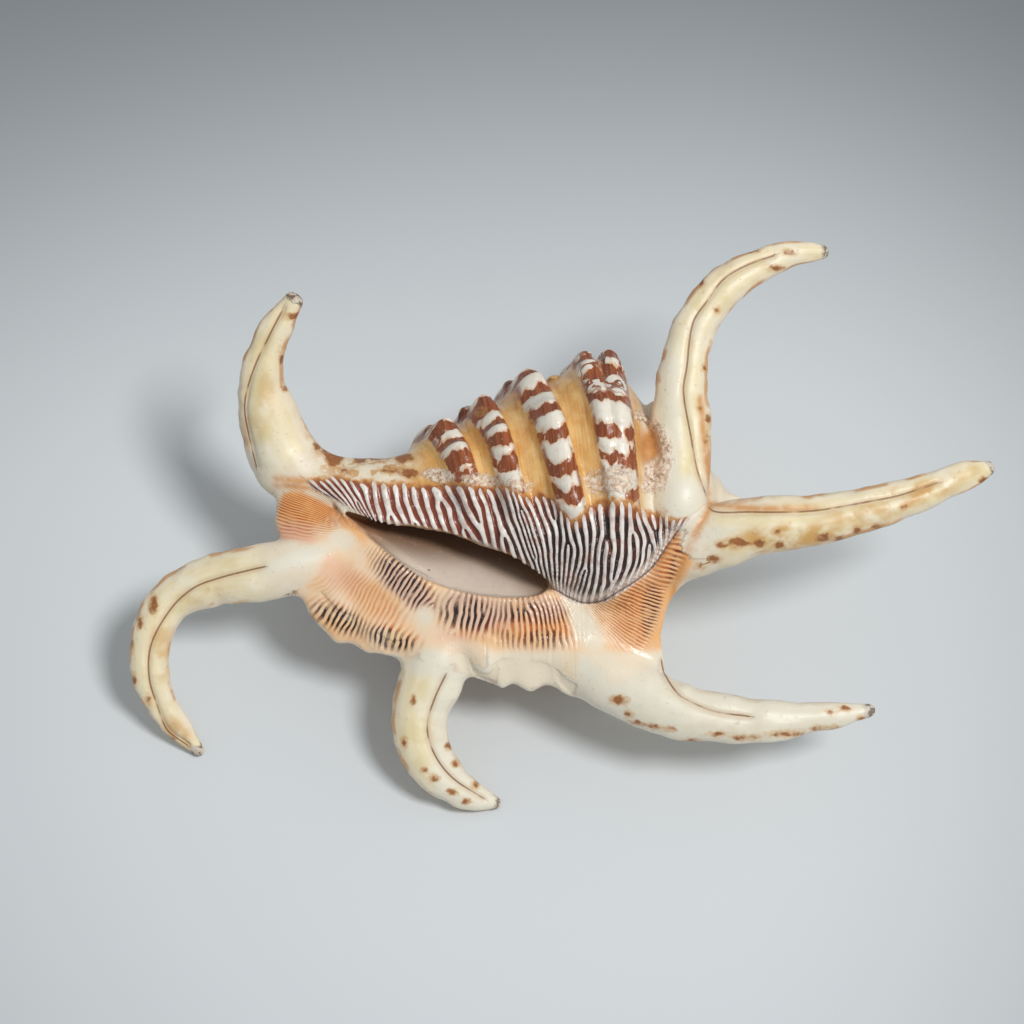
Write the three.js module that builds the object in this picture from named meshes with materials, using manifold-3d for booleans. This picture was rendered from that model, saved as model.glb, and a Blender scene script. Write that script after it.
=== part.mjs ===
// Spider conch shell: one grown piece of shell, made of a coiled, ribbed body, a flared outer lip and
// six long hooked digits, with the mouth opening between the lip and the coil.
// Millimetres. The shell is drawn face up: +X runs along the coil axis to the apex, +Y to the ribbed left
// side and +Z out of the mouth. The finished shell is then tipped onto its back, as it lies on a table.

import * as THREE from "three";
import { mergeVertices } from "three/addons/utils/BufferGeometryUtils.js";
import Module from "manifold-3d";

const wasm = await Module();
wasm.setup();

const lieTilt = 30; // degrees that the mouth's face leans to the lip side as the shell lies on its back
const contactDepth = 1; // how far the touching knobs and digit tips are worn flat

const coil = {
  apexX: 67, // where the coil axis ends in the apex
  frontX: -64, // the other end of the coiled body, inside the canal
  axisY: 3,
  growthPerTurn: 1.5,
  flatness: 0.88, // depth of the coil's section over its width
  lipAngle: 158, // degrees round the axis from +Y where the last whorl ends in the lip
  palateAngle: 145, // where that whorl began, under the glaze of the inner lip
  turns: 5,
  ribSlant: 7, // how far the ribs run back towards the apex in each quarter turn
  flare: 9, // how far the last whorl spreads to meet the front half of the lip
  columns: 56,
  rows: 50,
};

// The last whorl's outline on the +Y side: distance from the apex along the axis, and radius.
const whorlOutline = [
  [23, 15], [27, 24], [31, 30], [35, 35], [40, 38], [47, 37.8], [55, 34.5], [62, 31],
  [69, 28], [76, 24], [81, 21], [87, 18.5], [93, 15.5], [98, 13.5], [106, 12], [116, 11], [124, 9], [131, 7],
];

// Ribs that wind round the last whorl: distance from the apex on the +Y side, height, half width,
// and how much of the height stands up as knobs.
const ribs = [
  { at: 38.5, height: 5.4, half: 4.4, knobs: 0.3 },
  { at: 46.5, height: 5.4, half: 4.2, knobs: 0.2 },
  { at: 64.5, height: 7.6, half: 4.6, knobs: 0.2 },
  { at: 77, height: 6.6, half: 4.2, knobs: 0.2 },
  { at: 88.5, height: 5.6, half: 3.8, knobs: 0.2 },
];
const knobsPerTurn = 9;

// The glaze of the inner lip: a pad over the coil on the mouth side, which buries the ribs.
const glaze = { thickness: 4.5, fromAngle: 84, fullAngle: 118 };

// Each digit: centreline points and the width of the digit at them. The first points are inside the body,
// where the digit grows out of a rib of its back.
const digits = {
  canal: {
    path: [[-18, 5, -3], [-38, 7.5, -3], [-52, 8, -3], [-64, 13.5, -4], [-69.6, 26.5, -1],
      [-71.6, 38, 3], [-68.7, 49.5, 6.5], [-60.6, 62, 10]],
    width: [16, 16, 17, 20.5, 17.5, 12.6, 9.6, 5.6],
  },
  front: {
    path: [[-30, -12, -4], [-46, -13, 2], [-62, -15.5, 5], [-73, -17.6, 4.5], [-86, -19.6, 2],
      [-98.4, -26, 0], [-103.8, -36.6, -0.6], [-104, -47, -1.7], [-99.4, -58.5, -4.6], [-89.2, -70.6, -7]],
    width: [18, 18, 16.5, 16.4, 14.4, 12.4, 11.6, 10.6, 8.4, 4],
  },
  middle: {
    path: [[-12, -22, -2], [-17.5, -33, 6], [-20.5, -40, 8.6], [-23, -48, 8.9], [-26, -56, 8.4],
      [-26, -63.6, 7.9], [-22, -72.6, 6.4], [-14.4, -79.6, 4.2], [-2.8, -84.2, 1]],
    width: [20, 21, 19.5, 18, 16.2, 15.2, 13.6, 10, 3.6],
  },
  rear: {
    path: [[6, -28, 4], [16, -38, 9], [26, -45, 12.5], [36, -51.4, 16], [46, -55.6, 18.6],
      [56, -57.4, 19.6], [70, -58.6, 19.6], [86.4, -57.6, 19.2], [102.4, -55.4, 17.9]],
    width: [22, 22, 20.5, 17.6, 15.6, 14.2, 12.2, 8, 4],
  },
  tail: {
    path: [[28, -16, 8], [40, -12, 15], [49, -9.2, 19], [58, -6.6, 22], [70, -3.6, 25], [84.6, -2.2, 26],
      [97, 0.4, 26], [113.4, 5.2, 25], [124.8, 9.4, 23], [135.4, 13, 20]],
    width: [24, 22, 20, 18.4, 16, 13.8, 12.2, 10, 8.2, 4.4],
  },
  crest: {
    path: [[43.5, -6, 14], [45.6, -1, 19], [47.2, 12, 19], [47.4, 24, 17], [47.8, 35, 15], [49.4, 46, 14],
      [53.4, 55.4, 13], [61.2, 64.6, 12], [71.6, 70.6, 11], [81, 73.4, 9], [90.4, 74, 7]],
    width: [11, 18, 16.5, 17, 14.4, 12.4, 11.8, 11.2, 9.2, 6.6, 4],
  },
};
const digitDepth = 0.8; // depth of a digit's section over its width
const digitSides = 10;
const digitRings = 20;

// The lip is a band from the canal round to the tail digit: its edge at the mouth, its free edge and a
// thickness at each.
const lip = {
  inner: [[-60, 6, 2], [-52, 0, 6], [-46, -4, 8.4], [-39, -10, 11.5], [-30, -16.5, 14.5], [-18, -21.5, 16.5],
    [-4, -24, 18], [7, -23, 18], [17, -22, 17], [28, -21, 17], [38, -15, 18], [46, -6, 20]],
  outer: [[-65, 5, 0], [-65.5, -5, 3], [-63, -18, 6.5], [-57, -28.5, 8], [-49, -35, 8.6], [-38, -40, 9],
    [-27, -42, 9], [-10, -46, 9], [5, -49.5, 9.5], [20, -50, 11], [34, -48, 14], [42, -43, 16],
    [41, -34, 17], [43.5, -25, 18.5], [52, -12, 20.5]],
  innerThickness: 7,
  outerThickness: 4,
  steps: 42,
};
const scallop = { height: 1.6, perLip: 15 }; // the waves along the lip's free edge

// The mouth: its outline on the face, and how the hollow behind it curls under the coil with depth.
const mouth = {
  outline: [[-50, 1.5], [-46, -0.6], [-38, -4.4], [-24, -7.6], [-9, -9.4], [2.5, -13.6], [10.4, -20],
    [8.6, -22.8], [2, -24], [-9, -23.4], [-21, -20.4], [-32, -14.6], [-40, -8.4], [-46.2, -2.4]],
  middle: [-12, -15],
  top: 40, // above the face everywhere
  shallowEnd: [-50, 3], // along the axis, and the height of the hollow's floor there
  deepEnd: [-6, -24],
  layers: 12,
  hollow: 0.5, // how much wider the hollow is than the mouth, part way down
  underCoil: 20, // how far the hollow's floor runs under the coil
};

const radians = THREE.MathUtils.degToRad;
const { smoothstep, lerp, clamp } = THREE.MathUtils;
const toVectors = (points) => points.map((p) => new THREE.Vector3(...p));

// Reads y at x from points with rising x, with a soft curve through them.
function valueAt(points, x) {
  if (x <= points[0][0] || x >= points.at(-1)[0]) return 0;
  const i = points.findIndex((p) => p[0] > x);
  const [x0, y0] = points[i - 1];
  const [x1, y1] = points[i];
  const before = points[Math.max(i - 2, 0)];
  const after = points[Math.min(i + 1, points.length - 1)];
  const slope0 = (y1 - before[1]) / (x1 - before[0]);
  const slope1 = (after[1] - y0) / (after[0] - x0);
  const t = (x - x0) / (x1 - x0);
  const bend0 = slope0 * (x1 - x0) * t * (1 - t) ** 2;
  const bend1 = slope1 * (x1 - x0) * t * t * (1 - t);
  return y0 * (1 - t) ** 2 * (1 + 2 * t) + y1 * t * t * (3 - 2 * t) + bend0 - bend1;
}

// Radius of the coil at a distance from the apex, at a growth angle counted back from the mouth's side.
// Each whorl is the one after it made smaller about the apex, and the largest one shows. Ribbing is the
// share of the ribs that stands up.
function whorlRadius(distance, growth, ribbing) {
  let radius = 0;
  for (let turn = 0; turn < coil.turns; turn++) {
    const scale = coil.growthPerTurn ** ((growth - 90) / 360 - turn);
    const at = distance / scale;
    let r = valueAt(whorlOutline, at);
    if (r > 0)
      for (const rib of ribs) {
        const ribAt = rib.at + coil.ribSlant * (growth / 90 - 1);
        const bump = Math.exp(-(((at - ribAt) / rib.half) ** 2) * 1.6);
        const knob = Math.cos(radians(growth * knobsPerTurn));
        r += ribbing * rib.height * bump * (1 + rib.knobs * knob);
      }
    radius = Math.max(radius, r * scale);
  }
  return radius;
}

// Radius of the coiled body at a point of its axis and an angle round it from +Y towards +Z, in degrees.
function bodyRadius(x, angle) {
  const distance = coil.apexX - x;
  const pastLip = angle > coil.lipAngle;
  const back = pastLip ? angle - 360 : angle;
  const pad = pastLip ? 0 : smoothstep(angle, glaze.fromAngle, glaze.fullAngle);
  const young = whorlRadius(distance, 90 - back, 1 - pad) + glaze.thickness * pad * smoothstep(distance, 15, 40);
  const toLip = pastLip ? 0 : smoothstep(angle, coil.palateAngle, coil.lipAngle);
  const old = toLip > 0 ? whorlRadius(distance, 450 - back, 1) : 0;
  const spread = pastLip ? 1 - smoothstep(angle, coil.lipAngle, 260) : toLip;
  return lerp(young, old, toLip) + coil.flare * spread * bellAt(x);
}

// How much of the lip's flare reaches the coil along its axis.
const bellAt = (x) => smoothstep(x, -66, -46) * (1 - smoothstep(x, -25, 15));

// A closed three.js geometry as a manifold-3d solid.
function solidOf(geometry) {
  const bare = geometry.clone();
  bare.deleteAttribute("normal");
  bare.deleteAttribute("uv");
  const merged = mergeVertices(bare, 1e-3);
  return new wasm.Manifold(
    new wasm.Mesh({
      numProp: 3,
      vertProperties: new Float32Array(merged.attributes.position.array),
      triVerts: new Uint32Array(merged.index.array),
    }),
  );
}

// Moves every vertex of a geometry to where place() puts it.
function shaped(geometry, place) {
  const position = geometry.attributes.position;
  const point = new THREE.Vector3();
  for (let i = 0; i < position.count; i++) {
    point.fromBufferAttribute(position, i);
    position.setXYZ(i, ...place(point).toArray());
  }
  return geometry;
}

// The coiled body: a sphere whose poles are the apex and the canal end.
function makeBody() {
  const ball = new THREE.SphereGeometry(1, coil.columns, coil.rows);
  return solidOf(
    shaped(ball, (p) => {
      const along = Math.acos(clamp(p.y, -1, 1)) / Math.PI;
      const x = lerp(coil.apexX, coil.frontX, along);
      const around = Math.hypot(p.x, p.z) < 1e-6 ? 0 : Math.atan2(-p.z, p.x);
      const angle = (THREE.MathUtils.radToDeg(around) + 360 + coil.lipAngle) % 360;
      const ends = Math.sqrt(clamp(Math.min(along, 1 - along) * 12, 0, 1));
      const radius = Math.max(bodyRadius(x, angle), 4) * ends;
      const a = radians(angle);
      return new THREE.Vector3(
        x,
        coil.axisY + radius * Math.cos(a),
        radius * Math.sin(a) * coil.flatness,
      );
    }),
  );
}

// A hooked, tapering digit: a cylinder bent along its centreline, with its face turned to the mouth's side.
function makeDigit({ path, width }) {
  const line = new THREE.CatmullRomCurve3(toVectors(path), false, "centripetal");
  const last = width.length - 1;
  const bar = new THREE.CylinderGeometry(1, 1, 1, digitSides, digitRings);
  return solidOf(
    shaped(bar, (p) => {
      const t = clamp(p.y + 0.5, 0, 1);
      const centre = line.getPoint(t);
      const ahead = line.getTangent(t);
      const side = new THREE.Vector3().crossVectors(new THREE.Vector3(0, 0, 1), ahead).normalize();
      const face = new THREE.Vector3().crossVectors(ahead, side).normalize();
      const at = Math.min(Math.floor(t * last), last - 1);
      const half = lerp(width[at], width[at + 1], smoothstep(t * last - at, 0, 1)) / 2;
      return centre.addScaledVector(side, p.x * half).addScaledVector(face, -p.z * half * digitDepth);
    }),
  );
}

// The lip: a box with many steps, bent into the band between the mouth's edge and the free edge.
function makeLip() {
  const inner = new THREE.CatmullRomCurve3(toVectors(lip.inner), false, "centripetal");
  const outer = new THREE.CatmullRomCurve3(toVectors(lip.outer), false, "centripetal");
  const band = new THREE.BoxGeometry(1, 1, 1, lip.steps, 4, 1);
  return solidOf(
    shaped(band, (p) => {
      const along = p.x + 0.5;
      const across = 0.5 - p.y;
      const wave = Math.sin(along * Math.PI * 2 * scallop.perLip) * scallop.height * across ** 4;
      const start = inner.getPoint(along);
      const end = outer.getPoint(along);
      const outward = end.clone().sub(start).normalize();
      const thickness = lerp(lip.innerThickness, lip.outerThickness, across);
      const point = start.lerp(end, across).addScaledVector(outward, wave);
      point.z += 1.2 * Math.sin(across * Math.PI) - (p.z < 0 ? thickness : 0);
      return point;
    }),
  );
}

// The hollow behind the mouth: the mouth's outline pushed down in layers that widen, curl and close.
function makeHollow() {
  const rim = new THREE.SplineCurve([...mouth.outline, mouth.outline[0]].map((p) => new THREE.Vector2(...p)));
  const block = new THREE.ExtrudeGeometry(new THREE.Shape(rim.getPoints(44).slice(0, -1)), {
    depth: 1,
    steps: mouth.layers,
    bevelEnabled: false,
  });
  const [middleX, middleY] = mouth.middle;
  return solidOf(
    shaped(block, (p) => {
      const depth = 1 - p.z;
      const reach = smoothstep(p.x, mouth.shallowEnd[0], mouth.deepEnd[0]);
      const inside = smoothstep(depth, 0.35, 1) * reach;
      const swell = 1 + mouth.hollow * Math.sin(Math.PI * inside) - 0.5 * inside ** 3;
      const floor = lerp(mouth.shallowEnd[1], mouth.deepEnd[1], reach);
      return new THREE.Vector3(
        middleX + (p.x - middleX) * lerp(1, swell, 0.5),
        middleY + (p.y - middleY) * swell + mouth.underCoil * inside ** 1.5,
        lerp(mouth.top, floor, depth),
      );
    }),
  );
}

// Tips the drawn shell onto its back and finds how it must be moved so that its box stands on the origin.
function restingPlace(solid) {
  const { min, max } = solid.rotate([lieTilt, 0, 0]).boundingBox();
  return new THREE.Vector3(-(min[0] + max[0]) / 2, -(min[1] + max[1]) / 2, -min[2] - contactDepth);
}

// Everything below the table top, as a big box in the frame in which the shell is drawn.
function makeTable(place) {
  const size = 600;
  const slab = new THREE.BoxGeometry(size, size, size);
  slab.translate(0, 0, -size / 2 - place.z);
  slab.rotateX(radians(-lieTilt));
  return solidOf(slab);
}

const solids = [makeBody(), makeLip(), ...Object.values(digits).map(makeDigit)];
const grown = solids.reduce((all, next) => all.add(next)).subtract(makeHollow());
const place = restingPlace(grown);
const rested = grown.subtract(makeTable(place)).getMesh();

const geometry = new THREE.BufferGeometry();
geometry.setAttribute("position", new THREE.BufferAttribute(rested.vertProperties, 3));
geometry.setIndex(new THREE.BufferAttribute(rested.triVerts, 1));
geometry.computeVertexNormals();

const shell = new THREE.Mesh(
  geometry,
  new THREE.MeshStandardMaterial({ color: 0xe8cfa8, roughness: 0.35, metalness: 0 }),
);
shell.name = "shell";
shell.rotation.x = radians(lieTilt);
shell.position.copy(place);

const part = new THREE.Group();
part.add(shell);

export default part;
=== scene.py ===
import math

import bpy
import numpy as np
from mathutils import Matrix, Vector, kdtree


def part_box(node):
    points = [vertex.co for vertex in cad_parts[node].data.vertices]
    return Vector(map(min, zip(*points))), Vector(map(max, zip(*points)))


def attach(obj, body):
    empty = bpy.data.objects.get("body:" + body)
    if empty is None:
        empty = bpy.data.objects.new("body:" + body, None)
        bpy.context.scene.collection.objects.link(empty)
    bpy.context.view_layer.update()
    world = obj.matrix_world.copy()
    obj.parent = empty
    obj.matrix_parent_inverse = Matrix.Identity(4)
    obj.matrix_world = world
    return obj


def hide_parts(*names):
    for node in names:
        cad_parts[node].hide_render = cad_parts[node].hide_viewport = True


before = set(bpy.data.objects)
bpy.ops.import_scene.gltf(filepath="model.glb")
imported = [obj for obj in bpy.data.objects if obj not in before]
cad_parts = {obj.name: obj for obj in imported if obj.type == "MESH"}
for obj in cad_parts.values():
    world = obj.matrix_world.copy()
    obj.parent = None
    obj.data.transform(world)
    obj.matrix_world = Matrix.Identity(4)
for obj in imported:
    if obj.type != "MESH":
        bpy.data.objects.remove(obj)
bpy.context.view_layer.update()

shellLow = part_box("shell")[0]

# The shell is drawn in millimetres, face up: x runs along the coil axis to the apex, y to the ribbed left
# side and z out of the mouth. It then lies on its back, tipped and moved to where the frame has it.
lie = {
    "tilt": 30,  # degrees the face leans to the lip side
    "origin": (109.734, 75.870, 42.471),  # where the drawing's origin is, from the frame's lowest corner
}


def tipped(p, degrees):  # turned about x
    a = math.radians(degrees)
    y = p[:, 1] * math.cos(a) - p[:, 2] * math.sin(a)
    z = p[:, 1] * math.sin(a) + p[:, 2] * math.cos(a)
    return np.stack([p[:, 0], y, z], 1)


def toTable(p):  # drawing millimetres to metres in the frame
    return (tipped(p, lie["tilt"]) + lie["origin"]) / 1000 + np.array(shellLow)


def toDrawing(p):
    return tipped((p - np.array(shellLow)) * 1000 - lie["origin"], -lie["tilt"])


def smooth(x, low, high):  # 0 below low, 1 above high
    t = np.clip((x - low) / (high - low), 0, 1)
    return t * t * (3 - 2 * t)


def mix(a, b, share):
    return a + (b - a) * share


def bell(x, width):
    return np.exp(-((x / width) ** 2))


def unit(v):
    return v / np.linalg.norm(v, axis=1)[:, None]


def curveAt(points, t):  # a soft curve through points, t from 0 to 1
    p = np.asarray(points, float)
    p = np.vstack([2 * p[0] - p[1], p, 2 * p[-1] - p[-2]])
    last = len(p) - 3
    at = np.clip(np.asarray(t, float), 0, 1) * last
    i = np.minimum(at.astype(int), last - 1)
    s = (at - i)[..., None]
    p0, p1, p2, p3 = p[i], p[i + 1], p[i + 2], p[i + 3]
    d0, d1, d2 = (np.maximum(np.linalg.norm(b - a, axis=-1), 1e-6)[..., None] ** 0.5
                  for a, b in ((p0, p1), (p1, p2), (p2, p3)))
    m1 = ((p1 - p0) / d0 - (p2 - p0) / (d0 + d1) + (p2 - p1) / d1) * d1
    m2 = ((p2 - p1) / d1 - (p3 - p1) / (d1 + d2) + (p3 - p2) / d2) * d1
    return (p1 + m1 * s + (3 * (p2 - p1) - 2 * m1 - m2) * s**2 + (2 * (p1 - p2) + m1 + m2) * s**3)


def readCurve(points, x):  # y at x on a soft curve through points with rising x, and 0 past its ends
    p = np.array(points, float)
    i = np.clip(np.searchsorted(p[:, 0], x, side="right"), 1, len(p) - 1)
    a, b = p[i - 1], p[i]
    before, after = p[np.maximum(i - 2, 0)], p[np.minimum(i + 1, len(p) - 1)]
    slopeA = (b[:, 1] - before[:, 1]) / (b[:, 0] - before[:, 0])
    slopeB = (after[:, 1] - a[:, 1]) / (after[:, 0] - a[:, 0])
    step = b[:, 0] - a[:, 0]
    t = np.clip((x - a[:, 0]) / step, 0, 1)
    y = a[:, 1] * (1 - t) ** 2 * (1 + 2 * t) + b[:, 1] * t * t * (3 - 2 * t)
    y += slopeA * step * t * (1 - t) ** 2 - slopeB * step * t * t * (1 - t)
    return np.where((x > p[0, 0]) & (x < p[-1, 0]), y, 0)


def lineDistance(points, x, y):  # how far x, y is from a soft line through points, less than 0 on its right
    best = np.full(len(x), 1e9)
    line = curveAt(points, np.linspace(0, 1, 8 * len(points)))
    for (ax, ay), (bx, by) in zip(line[:-1], line[1:]):
        dx, dy = bx - ax, by - ay
        t = np.clip(((x - ax) * dx + (y - ay) * dy) / (dx * dx + dy * dy), 0, 1)
        away = np.hypot(x - ax - t * dx, y - ay - t * dy)
        side = np.where(dx * (y - ay) - dy * (x - ax) < 0, -1, 1)
        best = np.where(away < np.abs(best), away * side, best)
    return best


coil = {
    "apexX": 67,  # where the coil axis ends in the apex
    "frontX": -64,  # the other end of the coiled body, inside the canal
    "axisY": 3,
    "growthPerTurn": 1.5,
    "flatness": 0.88,  # depth of the coil's section over its width
    "lipAngle": 158,  # degrees round the axis from +y where the last whorl ends in the lip
    "palateAngle": 145,  # where that whorl began, under the glaze
    "turns": 5,
    "flare": 9,  # how far the last whorl spreads to meet the front half of the lip
    "knobsPerTurn": 9,
    "glazeThickness": 4.5,
    "glazeFrom": 84,  # degrees round the axis where the glaze starts, and where it is full
    "glazeFull": 118,
    # the last whorl's outline on the +y side: distance from the apex along the axis, and radius
    "outline": [(23, 15), (27, 24), (31, 30), (35, 35), (40, 38), (47, 37.8), (55, 34.5), (62, 31), (69, 28),
                (76, 24), (81, 21), (87, 18.5), (93, 15.5), (98, 13.5), (106, 12), (116, 11), (124, 9),
                (131, 7)],
}

# Ribs: distance from the apex on the +y side, height, half width, how much of the height stands in knobs,
# and how far the rib runs back towards the apex in a quarter turn.
ribs = [
    {"at": 39.1, "height": 4.9, "half": 4.3, "knobs": 0.3, "slant": 0.5},
    {"at": 47.4, "height": 4.6, "half": 3.7, "knobs": 0.3, "slant": 5.6},
    {"at": 64.0, "height": 6.6, "half": 5.2, "knobs": 0.25, "slant": 7.8},
    {"at": 76.8, "height": 5.8, "half": 4.3, "knobs": 0.25, "slant": 3.9},
    {"at": 88.2, "height": 5.2, "half": 4.8, "knobs": 0.25, "slant": 2.1},
]


def ribShape(d):  # a cord's round section across a rib, from -1 to 1
    return np.clip(1 - d * d, 0, 1) ** 0.62


def whorlRadius(distance, growth, ribbing):
    radius = np.zeros(len(distance))
    for turn in range(coil["turns"]):
        scale = coil["growthPerTurn"] ** ((growth - 90) / 360 - turn)
        at = distance / scale
        r = readCurve(coil["outline"], at)
        bumps = np.zeros(len(at))
        for rib in ribs:
            middle = rib["at"] + rib["slant"] * (growth / 90 - 1)
            knob = np.cos(np.radians(growth * coil["knobsPerTurn"]))
            raised = rib["height"] * ribShape((at - middle) / rib["half"]) * (1 + rib["knobs"] * knob)
            bumps = np.maximum(bumps, raised)
        r = np.where(r > 0, r + ribbing * bumps, 0)
        radius = np.maximum(radius, r * scale)
    return radius


def glazePad(angle):
    return np.where(angle > coil["lipAngle"], 0, smooth(angle, coil["glazeFrom"], coil["glazeFull"]))


def bodyRadius(x, angle):  # angle in degrees from +y towards +z
    distance = coil["apexX"] - x
    pastLip = angle > coil["lipAngle"]
    back = np.where(pastLip, angle - 360, angle)
    pad = glazePad(angle)
    young = whorlRadius(distance, 90 - back, 1 - pad)
    young += coil["glazeThickness"] * pad * smooth(distance, 15, 40)
    old = whorlRadius(distance, 450 - back, 1)
    toLip = np.where(pastLip, 0, smooth(angle, coil["palateAngle"], coil["lipAngle"]))
    spread = np.where(pastLip, 1 - smooth(angle, coil["lipAngle"], 260), toLip)
    bellShape = smooth(x, -66, -46) * (1 - smooth(x, -25, 15))
    return mix(young, old, toLip) + coil["flare"] * spread * bellShape


def bodySurface(t, turn):
    x = mix(coil["apexX"], coil["frontX"], t)
    angle = (turn * 360 + coil["lipAngle"]) % 360
    ends = np.sqrt(np.clip(np.minimum(t, 1 - t) * 12, 0, 1))
    radius = np.maximum(bodyRadius(x, angle), 4) * ends
    a = np.radians(angle)
    return np.stack([x, coil["axisY"] + radius * np.cos(a), radius * np.sin(a) * coil["flatness"]], 1)


# Each digit: centreline points from inside the body to the tip, and the width at each.
digits = {
    "canal": {
        "path": [(-18, 5, -3), (-38, 7.5, -3), (-52, 8, -3), (-64, 13.5, -4), (-69.6, 26.5, -1),
                 (-71.6, 38, 3), (-68.7, 49.5, 6.5), (-60.6, 62, 10)],
        "width": [16, 16, 17, 20.5, 17.5, 12.6, 9.6, 5.6],
    },
    "front": {
        "path": [(-30, -12, -4), (-46, -13, 2), (-62, -15.5, 5), (-73, -17.6, 4.5), (-86, -19.6, 2),
                 (-98.4, -26, 0), (-103.8, -36.6, -0.6), (-104, -47, -1.7), (-99.4, -58.5, -4.6),
                 (-89.2, -70.6, -7)],
        "width": [18, 18, 16.5, 16.4, 14.4, 12.4, 11.6, 10.6, 8.4, 4],
    },
    "middle": {
        "path": [(-12, -22, -2), (-17.5, -33, 6), (-20.5, -40, 8.6), (-23, -48, 8.9), (-26, -56, 8.4),
                 (-26, -63.6, 7.9), (-22, -72.6, 6.4), (-14.4, -79.6, 4.2), (-2.8, -84.2, 1)],
        "width": [20, 21, 19.5, 18, 16.2, 15.2, 13.6, 10, 3.6],
    },
    "rear": {
        "path": [(6, -28, 4), (16, -38, 9), (26, -45, 12.5), (36, -51.4, 16), (46, -55.6, 18.6),
                 (56, -57.4, 19.6), (70, -58.6, 19.6), (86.4, -57.6, 19.2), (102.4, -55.4, 17.9)],
        "width": [22, 22, 20.5, 17.6, 15.6, 14.2, 12.2, 8, 4],
    },
    "tail": {
        "path": [(28, -16, 8), (40, -12, 15), (49, -9.2, 19), (58, -6.6, 22), (70, -3.6, 25),
                 (84.6, -2.2, 26), (97, 0.4, 26), (113.4, 5.2, 25), (124.8, 9.4, 23), (135.4, 13, 20)],
        "width": [24, 22, 20, 18.4, 16, 13.8, 12.2, 10, 8.2, 4.4],
    },
    "crest": {
        "path": [(43.5, -6, 14), (45.6, -1, 19), (47.2, 12, 19), (47.4, 24, 17), (47.8, 35, 15),
                 (49.4, 46, 14), (53.4, 55.4, 13), (61.2, 64.6, 12), (71.6, 70.6, 11), (81, 73.4, 9),
                 (90.4, 74, 7)],
        "width": [11, 18, 16.5, 17, 14.4, 12.4, 11.8, 11.2, 9.2, 6.6, 4],
    },
}
digitDepth = 0.8  # depth of a digit's section over its width


def digitFrame(digit, t):  # centre, sideways and face directions, and half width along a digit
    centre = curveAt(digit["path"], t)
    ahead = unit(curveAt(digit["path"], t + 1e-3) - curveAt(digit["path"], t - 1e-3))
    side = unit(np.cross((0, 0, 1), ahead))
    face = np.cross(ahead, side)
    last = len(digit["width"]) - 1
    at = np.minimum((t * last).astype(int), last - 1)
    width = np.array(digit["width"], float)
    half = mix(width[at], width[at + 1], smooth(t * last - at, 0, 1)) / 2
    return centre, side, face, half


def digitSurface(digit):
    def place(t, turn):
        centre, side, face, half = digitFrame(digit, t)
        cap = np.sqrt(1 - np.clip(1 - np.minimum(t, 1 - t) / 0.018, 0, 1) ** 2)
        a = turn * 2 * np.pi
        across = (np.cos(a) * half * cap)[:, None]
        up = (np.sin(a) * half * cap * digitDepth)[:, None]
        return centre + side * across + face * up
    return place


lip = {
    "inner": [(-60, 6, 2), (-52, 0, 6), (-46, -4, 8.4), (-39, -10, 11.5), (-30, -16.5, 14.5),
              (-18, -21.5, 16.5), (-4, -24, 18), (7, -23, 18), (17, -22, 17), (28, -21, 17), (38, -15, 18),
              (46, -6, 20)],
    "outer": [(-66.5, 6, 0), (-66, -4, 3), (-61, -19, 6.5), (-56, -28.5, 8), (-49, -34.6, 9),
              (-38, -38.4, 11), (-27, -41, 12.5), (-10, -45.5, 13), (5, -48, 14), (20, -49.5, 14.5),
              (34, -48, 15.5), (42, -43, 16), (41, -34, 17), (43.5, -25, 18.5), (52, -12, 20.5)],
    # lobes of the free edge: place, how far out, and half width
    "lobes": [(-64.5, -9, -0.7, 2), (-50, -36, 1.7, 2.2), (-45, -36.5, -0.8, 2.2), (-40, -38, 0.5, 2),
              (-33, -40, -0.6, 2), (-3.5, -47, 1.4, 2.2), (0, -48, -1, 1.8), (4.5, -49.5, 2.2, 2.4),
              (10, -49, -1.6, 2.4), (16, -50, 1.8, 2.6), (21.5, -50, -0.9, 2.2)],
    "innerThickness": 7,
    "outerThickness": 4.2,
    "crown": 1.2,
}


def lipSection(turn):  # across and through the lip, round its section: face, free edge, back, mouth edge
    s = turn * 4
    across = np.select([s < 1, s < 2, s < 3], [s, np.ones_like(s), 3 - s], np.zeros_like(s))
    bulge = np.select([s < 1, s < 2, s < 3], [np.zeros_like(s), np.sin((s - 1) * np.pi), np.zeros_like(s)],
                      -np.sin((s - 3) * np.pi) * 0.4)
    depth = np.select([s < 1, s < 2, s < 3],
                      [np.zeros_like(s), (1 - np.cos((s - 1) * np.pi)) / 2, np.ones_like(s)],
                      (1 + np.cos((s - 3) * np.pi)) / 2)
    return across, bulge, depth


def lipSurface(t, turn):
    across, bulge, depth = lipSection(turn)
    ends = np.sqrt(np.clip(np.minimum(t, 1 - t) * 40, 0, 1))
    across = mix(0.5, across, ends)
    depth = mix(0.5, depth, ends)
    start, end = curveAt(lip["inner"], t), curveAt(lip["outer"], t)
    outward = unit(end - start)
    lobes = sum(size * bell(np.hypot(end[:, 0] - x, end[:, 1] - y), half)
                for x, y, size, half in lip["lobes"])
    end = end + outward * lobes[:, None]
    thickness = mix(lip["innerThickness"], lip["outerThickness"], across)
    p = mix(start, end, across[:, None]) + outward * (bulge * thickness / 2)[:, None]
    p[:, 2] += lip["crown"] * np.sin(across * np.pi) - depth * thickness
    return p


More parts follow.
